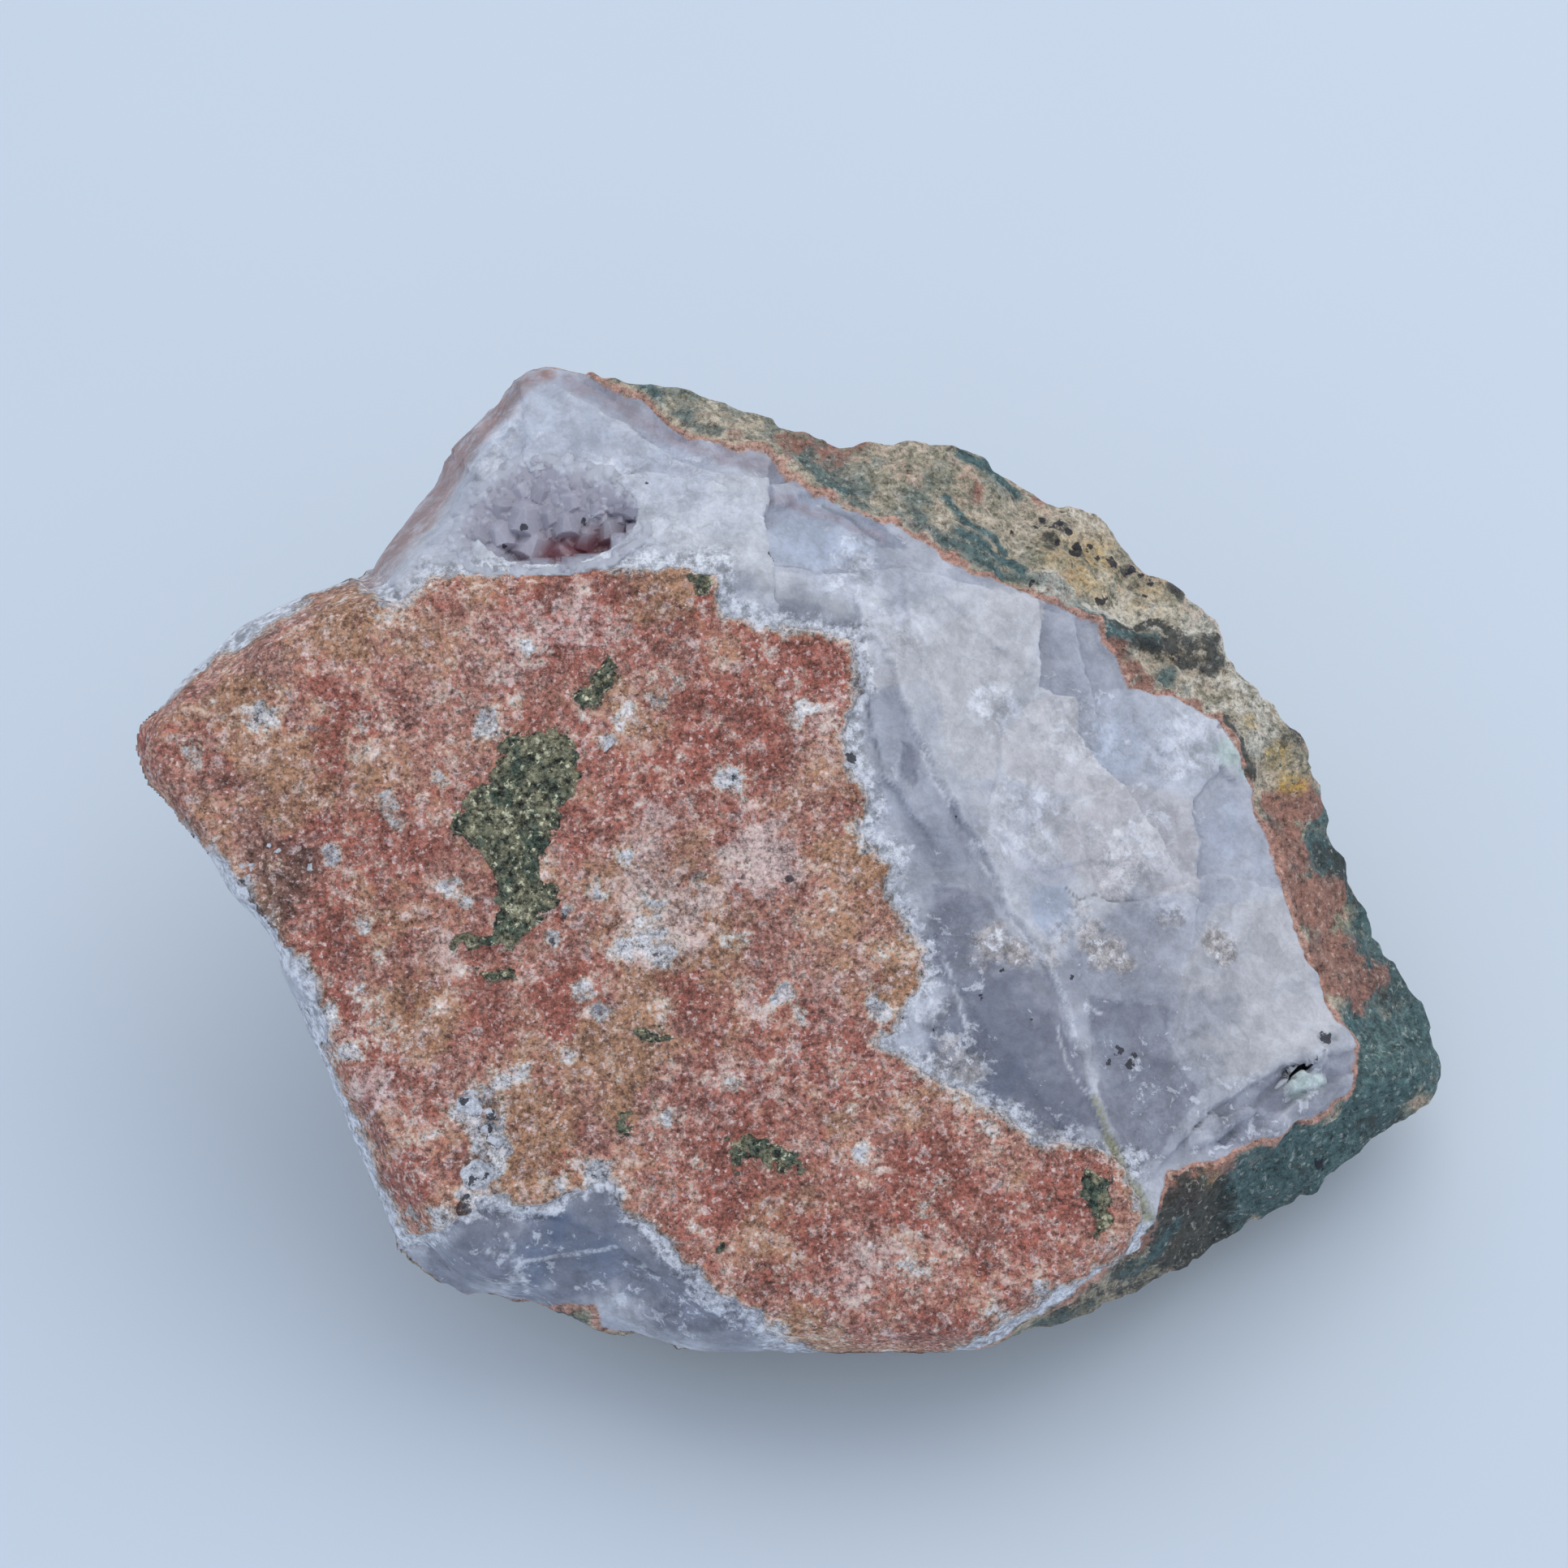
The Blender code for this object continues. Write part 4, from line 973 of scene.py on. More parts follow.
        (372, 1250, 16, 0.6), (392, 1310, 18, 0.6), (430, 1390, 14, 0.5), (500, 1500, 16, 0.6),
        (545, 1560, 18, 0.6), (610, 1580, 16, 0.6), (570, 1530, 12, 0.5), (1150, 1270, 10, 0.6),
        (1125, 1290, 12, 0.6), (880, 1600, 12, 0.6), (1300, 1400, 10, 0.5), (1400, 1400, 12, 0.6),
        (650, 1490, 10, 0.6), (905, 1010, 7, 0.6), (545, 980, 7, 0.6), (1000, 1470, 8, 0.6),
        (840, 1330, 7, 0.6), (1264, 640, 7, 1.0), (1275, 648, 8, 1.0), (1286, 642, 8, 1.0),
        (1294, 652, 9, 1.0), (1305, 648, 7, 1.0), (1317, 659, 8, 1.0), (1330, 677, 12, 1.0),
        (1345, 672, 7, 0.9), (1356, 685, 7, 0.9), (1372, 692, 10, 1.0), (1383, 703, 9, 1.0),
        (1396, 700, 8, 1.0), (1405, 712, 7, 0.9), (1411, 734, 6, 0.9), (1358, 742, 11, 0.9),
        (1272, 717, 7, 0.9), (1419, 719, 7, 0.9), (1340, 700, 6, 0.7), (1300, 672, 7, 0.9),
        (1250, 655, 6, 0.7),
    ),
    "druseSpeck": (
        (646, 649, 7, 1.0), (720, 643, 7, 1.0), (622, 673, 5, 1.0), (797, 599, 5, 1.0), (700, 597, 4, 0.9),
    ),
    "redRock": (
        (1374, 800, 19, 1.0), (1392, 832, 18, 1.0), (1412, 848, 18, 1.0), (1440, 860, 12, 0.9),
        (1470, 872, 14, 0.8), (1590, 990, 34, 1.0), (1580, 1050, 38, 1.0), (1615, 1110, 44, 1.0),
        (1640, 1180, 44, 1.0), (1670, 1215, 36, 0.9), (1455, 1463, 38, 1.0), (1500, 1440, 26, 0.7),
        (1030, 545, 40, 0.7), (980, 540, 26, 0.6), (900, 540, 16, 0.6), (1195, 612, 16, 0.5),
        (1285, 612, 12, 0.8), (1170, 690, 16, 0.6),
    ),
    "tealRock": (
        (1700, 1300, 90, 1.4), (1660, 1420, 80, 1.4), (1560, 1480, 80, 1.1), (1725, 1200, 50, 0.9),
        (1610, 1430, 60, 1.2), (1030, 585, 30, 0.7), (1090, 620, 26, 0.5), (1220, 570, 24, 0.55),
        (1215, 670, 20, 0.25), (1640, 1050, 40, 1.0), (1625, 1000, 26, 0.9), (1740, 1120, 50, 1.0),
        (1690, 1130, 34, 1.0), (1720, 1180, 60, 1.0), (1665, 1085, 34, 1.0), (1760, 1260, 60, 1.0),
        (800, 470, 26, 0.5), (1440, 830, 14, 0.8), (1270, 700, 30, 0.2), (845, 490, 30, 0.6),
        (905, 500, 26, 0.55), (1000, 556, 26, 0.75), (1060, 600, 34, 0.7), (1120, 640, 36, 0.65),
        (1185, 672, 36, 0.6), (1150, 590, 26, 0.5), (1225, 610, 26, 0.5), (960, 520, 20, 0.4),
    ),
    # dark rock, and painted shade: in the rind's hollow, on the underside turned down from the light and
    # along the bottom edge
    "darkRockAndShade": (
        (1460, 800, 26, 1.0), (1490, 815, 24, 1.0), (1430, 800, 16, 0.8), (1524, 925, 12, 1.0),
        (1530, 950, 10, 1.0), (1470, 1520, 55, 1.0), (1400, 1560, 60, 0.8), (1560, 1500, 50, 0.5),
        (650, 1612, 80, 1.0), (1330, 1620, 60, 0.7), (1290, 670, 14, 0.8), (1310, 655, 12, 0.8),
        (1330, 680, 10, 0.8), (1390, 700, 14, 0.7), (1400, 720, 10, 0.7), (1430, 1505, 60, 1.3),
        (1480, 1500, 56, 1.3), (1700, 1400, 50, 0.6), (1560, 1420, 30, 0.5), (1600, 905, 30, 0.75),
        (1650, 1060, 40, 0.8), (1670, 1100, 26, 0.7), (1672, 1190, 36, 0.45), (1730, 1200, 50, 0.5),
        (1600, 1470, 60, 0.5), (1450, 1530, 60, 1.0),
    ),
    "paleRock": (
        (1470, 760, 40, 0.9), (1520, 830, 50, 1.0), (1540, 900, 40, 1.0), (1500, 870, 24, 0.9),
        (1430, 760, 30, 0.7), (1300, 730, 24, 0.8), (1380, 745, 30, 0.6), (860, 500, 30, 0.5),
        (1470, 850, 20, 0.6), (1340, 620, 40, 0.4), (1620, 1230, 24, 0.5),
    ),
    "yellowRock": (
        (1580, 930, 20, 1.0), (1592, 965, 18, 1.0), (1540, 888, 12, 0.9), (1490, 1462, 20, 0.8),
        (1440, 1440, 14, 0.6), (1350, 700, 50, 0.55), (1300, 680, 30, 0.4), (1250, 740, 30, 0.3),
        (1420, 745, 40, 0.35),
    ),
}


def spotMask(shown, name, ragged):
    # overlapping soft discs with ragged rims
    mask = np.zeros(len(shown))
    for x, y, radius, strength in spots[name]:
        size = radius / stance["pixelsPerMm"]
        away = np.linalg.norm(shown + ragged * size * 0.45 - fromPhoto((x, y)), axis=1) / size
        mask = np.maximum(mask, strength * smoothStep(-away, -1.25, -0.45))
    return mask


# Node helpers

def newMaterial(name):
    material = bpy.data.materials.new(name)
    material.use_nodes = True
    material.node_tree.nodes.clear()
    return material, material.node_tree


def addNode(tree, kind, inputs=None, **settings):
    node = tree.nodes.new(kind)
    for key, value in settings.items():
        setattr(node, key, value)
    for key, value in (inputs or {}).items():
        if isinstance(value, bpy.types.NodeSocket):
            tree.links.new(value, node.inputs[key])
        else:
            node.inputs[key].default_value = value
    return node


def mathNode(tree, operation, *values):
    return addNode(tree, "ShaderNodeMath", dict(enumerate(values)), operation=operation).outputs[0]


def times(tree, a, b):
    return mathNode(tree, "MULTIPLY", a, b)


def vectorNode(tree, operation, a, b):
    return addNode(tree, "ShaderNodeVectorMath", {0: a, 1: b}, operation=operation).outputs[0]


def scaled(tree, vector, factor):
    return addNode(tree, "ShaderNodeVectorMath", {0: vector, "Scale": factor}, operation="SCALE").outputs[0]


def rangeNode(tree, value, low, high, toLow=0.0, toHigh=1.0):
    ends = {"Value": value, "From Min": low, "From Max": high, "To Min": toLow, "To Max": toHigh}
    return addNode(tree, "ShaderNodeMapRange", ends, interpolation_type="SMOOTHSTEP").outputs["Result"]


def mixColour(tree, factor, a, b):
    ends = [end if isinstance(end, bpy.types.NodeSocket) else (*end, 1.0) for end in (a, b)]
    inputs = {0: factor, 6: ends[0], 7: ends[1]}
    return addNode(tree, "ShaderNodeMix", inputs, data_type="RGBA").outputs[2]


def noiseNode(tree, vector, size, levels=3.0, roughness=0.55, distortion=0.0):
    # size is one wave's length in metres
    values = {"Vector": vector, "Scale": 1.0 / size, "Detail": levels,
              "Roughness": roughness, "Distortion": distortion}
    return addNode(tree, "ShaderNodeTexNoise", values).outputs["Fac"]


def mask(tree, name):
    return addNode(tree, "ShaderNodeAttribute", attribute_name=name, attribute_type="GEOMETRY").outputs["Fac"]


def bump(tree, height, distance, strength=1.0):
    inputs = {"Height": height, "Distance": distance, "Strength": strength}
    return addNode(tree, "ShaderNodeBump", inputs).outputs["Normal"]


def principled(tree, inputs):
    return addNode(tree, "ShaderNodeBsdfPrincipled", inputs).outputs["BSDF"]


def finishMaterial(tree, shader):
    out = addNode(tree, "ShaderNodeOutputMaterial")
    tree.links.new(shader, out.inputs["Surface"])


def weighted(tree, *terms, offset=0.0):
    # an offset, and each value times its weight
    total = offset
    for value, weight in terms:
        total = mathNode(tree, "MULTIPLY_ADD", value, weight, total)
    return total


def newGroup(name, inputs, outputs):
    group = bpy.data.node_groups.new(name, "ShaderNodeTree")
    for title, kind in inputs:
        group.interface.new_socket(title, in_out="INPUT", socket_type=kind)
    for title in outputs:
        group.interface.new_socket(title, in_out="OUTPUT", socket_type="NodeSocketFloat")
    return group, addNode(group, "NodeGroupInput").outputs, addNode(group, "NodeGroupOutput").inputs


def makeGrainGroup():
    # small grains: how light each spot is, the dark pores, painted glints on the bright faces between them,
    # and their relief
    group, given, result = newGroup(
        "Mineral Grain", (("Vector", "NodeSocketVector"), ("Size", "NodeSocketFloat")),
        ("Light", "Pores", "Glints", "Relief"))
    perMetre = mathNode(group, "DIVIDE", 1.0, given["Size"])
    coloured = addNode(group, "ShaderNodeTexNoise", {"Vector": given["Vector"], "Scale": perMetre})
    middle = vectorNode(group, "SUBTRACT", coloured.outputs["Color"], (0.5, 0.5, 0.5))
    reachOut = times(group, given["Size"], 0.6)
    bent = vectorNode(group, "ADD", given["Vector"], scaled(group, middle, reachOut))
    values = {"Vector": bent, "Scale": times(group, perMetre, 0.6), "Detail": 4.0, "Roughness": 0.85}
    rubble = addNode(group, "ShaderNodeTexNoise", values).outputs["Fac"]
    cells = addNode(group, "ShaderNodeTexVoronoi", {"Vector": bent, "Scale": perMetre})
    tones = addNode(group, "ShaderNodeSeparateColor", {"Color": cells.outputs["Color"]}).outputs
    light = weighted(group, (rangeNode(group, rubble, 0.28, 0.72), 0.75), (tones[0], 0.25))
    group.links.new(light, result["Light"])
    group.links.new(rangeNode(group, rubble, 0.42, 0.33), result["Pores"])
    bright = rangeNode(group, rubble, 0.46, 0.56)
    glint = times(group, rangeNode(group, tones[1], 0.80, 0.92), bright)
    group.links.new(glint, result["Glints"])
    relief = weighted(group, (rubble, 1.0), (cells.outputs["Distance"], -0.35), (tones[0], 0.2))
    group.links.new(relief, result["Relief"])
    return group


def makeInkGroup():
    # dark specks where the drawn spots are, broken up by fine noise
    group, given, result = newGroup("Ink Specks", (("Vector", "NodeSocketVector"),), ("Specks",))
    fine = noiseNode(group, given["Vector"], 0.0009, 4.0, 0.65)
    drawn = weighted(group, (mask(group, "speck"), 0.48), (fine, -1.0))
    group.links.new(rangeNode(group, drawn, -0.14, -0.08, 0.0, 0.92), result["Specks"])
    return group


def makeEdgeGroup():
    # a smooth edge made ragged by fine noise
    inputs = (("Vector", "NodeSocketVector"), ("Edge", "NodeSocketFloat"), ("Reach", "NodeSocketFloat"))
    group, given, result = newGroup("Ragged Edge", inputs, ("Edge",))
    wobble = mathNode(group, "SUBTRACT", noiseNode(group, given["Vector"], 0.0009, 4.0, 0.7), 0.5)
    wobble = times(group, wobble, given["Reach"])
    group.links.new(mathNode(group, "ADD", given["Edge"], wobble), result["Edge"])
    return group


groups = {"grain": makeGrainGroup(), "ink": makeInkGroup(), "edge": makeEdgeGroup()}


def useGroup(tree, name, inputs):
    return addNode(tree, "ShaderNodeGroup", inputs, node_tree=groups[name]).outputs


def inked(tree, vector, colour):
    specks = useGroup(tree, "ink", {"Vector": vector})["Specks"]
    return mixColour(tree, specks, colour, crustLook["ink"])


def grained(tree, colour, light, least, most):
    # the colour made darker and lighter by the grain
    factor = rangeNode(tree, light, 0.0, 1.0, least, most)
    return scaled(tree, colour, factor)


crustLook = {
    "red": (0.52, 0.175, 0.125),
    "salmon": (0.75, 0.385, 0.305),
    "darkRed": (0.18, 0.06, 0.05),
    "ochre": (0.56, 0.30, 0.17),
    "pink": (0.92, 0.70, 0.66),
    "white": (0.96, 0.91, 0.90),
    "greyBlue": (0.47, 0.50, 0.57),
    "brown": (0.18, 0.10, 0.075),
    "halo": (0.80, 0.66, 0.50),
    "ink": (0.02, 0.018, 0.03),
    "grain": 0.00034,
    "crumb": 0.00100,
    "roughness": 0.72,
}


def crustShader(tree, vector):
    look = crustLook
    broad = noiseNode(tree, vector, 0.013, 4.0, 0.6, 0.5)
    patches = noiseNode(tree, vector, 0.0062, 5.0, 0.7, 0.8)
    other = noiseNode(tree, vector, 0.0046, 6.0, 0.72, 0.6)
    flecks = noiseNode(tree, vector, 0.0014, 5.0, 0.75, 0.3)
    grain = useGroup(tree, "grain", {"Vector": vector, "Size": look["grain"]})
    edge = mask(tree, "crustEdge")

    redness = weighted(tree, (broad, 0.5), (flecks, 0.5), (mask(tree, "red"), -0.16))
    colour = mixColour(tree, rangeNode(tree, redness, 0.38, 0.60), look["red"], look["salmon"])
    ochreness = weighted(tree, (patches, 0.6), (broad, 0.3), (flecks, 0.1), (mask(tree, "ochre"), 0.16),
                         (mask(tree, "red"), -0.12))
    colour = mixColour(tree, rangeNode(tree, ochreness, 0.47, 0.60, 0.0, 0.9), colour, look["ochre"])
    rim = rangeNode(tree, weighted(tree, (edge, 1.0), (flecks, 2.2), (patches, 1.6)), 3.1, 2.0)
    colour = mixColour(tree, times(tree, rim, 0.85), colour, look["ochre"])
    paleness = weighted(tree, (patches, 0.3), (other, 0.3), (flecks, 0.4), (mask(tree, "pale"), 0.16))
    colour = mixColour(tree, rangeNode(tree, paleness, 0.50, 0.66, 0.0, 0.75), colour, look["pink"])
    whiteness = weighted(tree, (other, 0.6), (flecks, 0.4), (mask(tree, "window"), 0.155))
    worn = rangeNode(tree, weighted(tree, (edge, 1.0), (flecks, 1.8), (patches, 1.2)), 2.25, 1.55)
    window = mixColour(tree, rangeNode(tree, weighted(tree, (patches, 0.4), (flecks, 0.6)), 0.42, 0.60),
                       look["greyBlue"], look["white"])
    halo = rangeNode(tree, whiteness, 0.52, 0.62, 0.0, 0.6)
    halo = mathNode(tree, "MAXIMUM", halo, times(tree, worn, 0.6))
    colour = mixColour(tree, halo, colour, look["halo"])
    core = rangeNode(tree, whiteness, 0.575, 0.665, 0.0, 0.92)
    core = mathNode(tree, "MAXIMUM", core, times(tree, worn, 0.7))
    colour = mixColour(tree, core, colour, window)
    brownness = weighted(tree, (other, -0.6), (flecks, -0.4), (mask(tree, "brown"), 0.22))
    colour = mixColour(tree, rangeNode(tree, brownness, -0.40, -0.25, 0.0, 0.8), colour, look["brown"])

    crumbs = useGroup(tree, "grain", {"Vector": vector, "Size": look["crumb"]})
    colour = mixColour(tree, times(tree, grain["Pores"], 0.7), colour, look["darkRed"])
    colour = mixColour(tree, times(tree, crumbs["Pores"], 0.5), colour, look["darkRed"])
    colour = mixColour(tree, times(tree, crumbs["Glints"], 0.6), colour, look["pink"])
    colour = mixColour(tree, times(tree, grain["Glints"], 0.75), colour, look["pink"])
    veined = times(tree, mask(tree, "vein"), rangeNode(tree, flecks, 0.42, 0.52))
    colour = mixColour(tree, times(tree, veined, 0.85), colour, look["pink"])
    light = weighted(tree, (grain["Light"], 0.95), (patches, 1.0), (other, 0.8), offset=-0.88)
    colour = grained(tree, colour, light, 0.36, 1.78)
    darkFlecks = times(tree, rangeNode(tree, whiteness, 0.60, 0.66), rangeNode(tree, flecks, 0.43, 0.38))
    specks = useGroup(tree, "ink", {"Vector": vector})["Specks"]
    ink = mathNode(tree, "MAXIMUM", darkFlecks, specks)
    colour = mixColour(tree, times(tree, ink, 0.85), colour, look["ink"])

    rough = weighted(tree, (grain["Glints"], -0.3), offset=look["roughness"])
    height = weighted(tree, (grain["Relief"], 1.0), (flecks, 0.9))
    return principled(tree, {"Base Color": colour, "Roughness": rough, "Specular IOR Level": 0.45,
                             "Normal": bump(tree, height, 0.0005)})


agateLook = {
    "milky": (0.655, 0.65, 0.685),
    "grey": (0.455, 0.465, 0.535),
    "clear": (0.22, 0.228, 0.285),
    "frost": (0.76, 0.76, 0.81),
    "pink": (0.36, 0.225, 0.205),
    "mauve": (0.38, 0.33, 0.38),
    "sugar": (0.53, 0.47, 0.45),
    "vein": (0.40, 0.38, 0.22),
    "crack": (0.16, 0.17, 0.20),
    "warm": (0.66, 0.61, 0.61),
    "blue": (0.45, 0.50, 0.62),
    "deepBlueShade": (0.12, 0.165, 0.26),
    "mint": (0.60, 0.70, 0.66),
    "grain": 0.0006,
    "chip": 0.0020,
    "roughness": 0.40,
    "glow": 0.5,
}


def agateShader(tree, vector):
    look = agateLook
    broad = noiseNode(tree, vector, 0.016, 2.0, 0.5, 0.7)
    cloud = noiseNode(tree, vector, 0.0042, 5.0, 0.62, 0.4)
    flakes = noiseNode(tree, vector, 0.0021, 6.0, 0.7, 0.5)
    fine = noiseNode(tree, vector, 0.0009, 4.0, 0.7)
    grain = useGroup(tree, "grain", {"Vector": vector, "Size": look["grain"]})
    chips = useGroup(tree, "grain", {"Vector": vector, "Size": look["chip"]})
    # the light mask brings the facets' tone and the painted light and shade of facets, steps and chips
    milk = weighted(tree, (broad, 0.5), (cloud, 0.25), (flakes, 0.25), (mask(tree, "light"), 0.17))
    colour = mixColour(tree, rangeNode(tree, milk, 0.36, 0.64), look["grey"], look["milky"])
    warmth = weighted(tree, (mask(tree, "warmth"), 1.0), (cloud, 0.8), offset=-0.4)
    colour = mixColour(tree, rangeNode(tree, warmth, 0.0, 1.0, 0.0, 0.6), colour, look["warm"])
    colour = mixColour(tree, rangeNode(tree, warmth, 0.0, -1.0, 0.0, 0.6), colour, look["blue"])
    # painted shade: where the light mask is low, the agate is painted towards clear grey
    darker = weighted(tree, (mask(tree, "light"), -0.5), (flakes, 0.4))
    colour = mixColour(tree, rangeNode(tree, darker, 0.15, 1.1, 0.0, 0.9), colour, look["clear"])
    colour = mixColour(tree, times(tree, mask(tree, "blue"), 0.5), colour, look["blue"])
    colour = mixColour(tree, times(tree, mask(tree, "warm"), 0.4), colour, look["warm"])
    colour = mixColour(tree, times(tree, mask(tree, "frosty"), 0.3), colour, look["frost"])
    clear = weighted(tree, (mask(tree, "clear"), 1.0), (cloud, 0.7), (flakes, 0.7))
    colour = mixColour(tree, rangeNode(tree, clear, 0.60, 1.60, 0.0, 0.95), colour, look["clear"])
    # painted shade: deep blue where the chamfer turns down, away from the light
    deepBlueShade = times(tree, mask(tree, "deepBlueShade"), rangeNode(tree, cloud, 0.3, 0.6, 0.9, 0.3))
    colour = mixColour(tree, deepBlueShade, colour, look["deepBlueShade"])
    frost = weighted(tree, (mask(tree, "frosty"), 0.15), (flakes, 0.8), (fine, 0.3))
    colour = mixColour(tree, rangeNode(tree, frost, 0.65, 0.71, 0.0, 0.62), colour, look["frost"])
    fringe = weighted(tree, (mask(tree, "fringe"), 0.45), (fine, 0.9), (flakes, 0.7), (grain["Light"], 0.2))
    fringe = rangeNode(tree, fringe, 1.10, 1.34)
    colour = mixColour(tree, times(tree, fringe, 0.7), colour, look["frost"])
    lines = times(tree, mask(tree, "whiteLine"), rangeNode(tree, fine, 0.35, 0.55, 0.1, 0.75))
    colour = mixColour(tree, lines, colour, look["frost"])
    colour = mixColour(tree, times(tree, mask(tree, "mint"), 0.8), colour, look["mint"])
    sugary = mask(tree, "sugary")
    sugar = weighted(tree, (sugary, 0.5), (fine, 0.6), (flakes, 0.4))
    colour = mixColour(tree, rangeNode(tree, sugar, 0.62, 0.95, 0.0, 0.75), colour, look["sugar"])
    # painted glints: sparkling crystals of the sugary agate painted frost white
    crystals = times(tree, sugary, mathNode(tree, "MAXIMUM", chips["Glints"], grain["Glints"]))
    colour = mixColour(tree, times(tree, crystals, 0.8), colour, look["frost"])
    pink = times(tree, mask(tree, "pinkBand"), rangeNode(tree, flakes, 0.35, 0.55, 0.4, 0.95))
    colour = mixColour(tree, pink, colour, look["pink"])
    mauve = times(tree, mask(tree, "mauveBand"), rangeNode(tree, flakes, 0.35, 0.6, 0.4, 0.9))
    colour = mixColour(tree, mauve, colour, look["mauve"])
    vein = times(tree, mask(tree, "vein"), rangeNode(tree, flakes, 0.3, 0.5, 0.4, 0.9))
    colour = mixColour(tree, vein, colour, look["vein"])
    colour = mixColour(tree, times(tree, mask(tree, "crack"), 0.5), colour, look["crack"])
    shown = mathNode(tree, "MAXIMUM", mask(tree, "fringe"), sugary)
    grainy = times(tree, mathNode(tree, "SUBTRACT", grain["Light"], 0.5), shown)
    broken = mathNode(tree, "SUBTRACT", chips["Light"], 0.5)
    broken = times(tree, broken, weighted(tree, (mask(tree, "frosty"), 0.5), offset=0.34))
    light = weighted(tree, (grainy, 1.1), (broken, 1.0), offset=0.5)
    colour = grained(tree, colour, light, 0.5, 1.5)
    colour = inked(tree, vector, colour)
    rough = weighted(tree, (frost, 0.15), (chips["Light"], 0.1), offset=look["roughness"])
    grains = times(tree, shown, grain["Relief"])
    height = weighted(tree, (cloud, 0.8), (flakes, 0.45), (fine, 0.15), (chips["Relief"], 0.35),
                      (grains, 0.35))
    return principled(tree, {
        "Base Color": colour, "Roughness": rough, "IOR": 1.54, "Specular IOR Level": 0.5,
        "Subsurface Weight": look["glow"], "Subsurface Radius": (1.0, 0.95, 0.9),
        "Subsurface Scale": 0.0010, "Normal": bump(tree, height, 0.0007, 0.8)})


rockLook = {
    "tan": (0.64, 0.52, 0.385),
    "olive": (0.38, 0.345, 0.245),
    "teal": (0.075, 0.152, 0.155),
    "red": (0.41, 0.19, 0.14),
    "dark": (0.05, 0.055, 0.05),
    "pale": (0.80, 0.75, 0.65),
    "yellow": (0.60, 0.38, 0.08),
    "salmon": (0.66, 0.42, 0.31),
    "sea": (0.25, 0.40, 0.35),
    "line": (0.64, 0.34, 0.26),
    "grain": 0.00042,
    "bedding": (1.0, 1.0, 0.7),
    "roughness": 0.78,
}


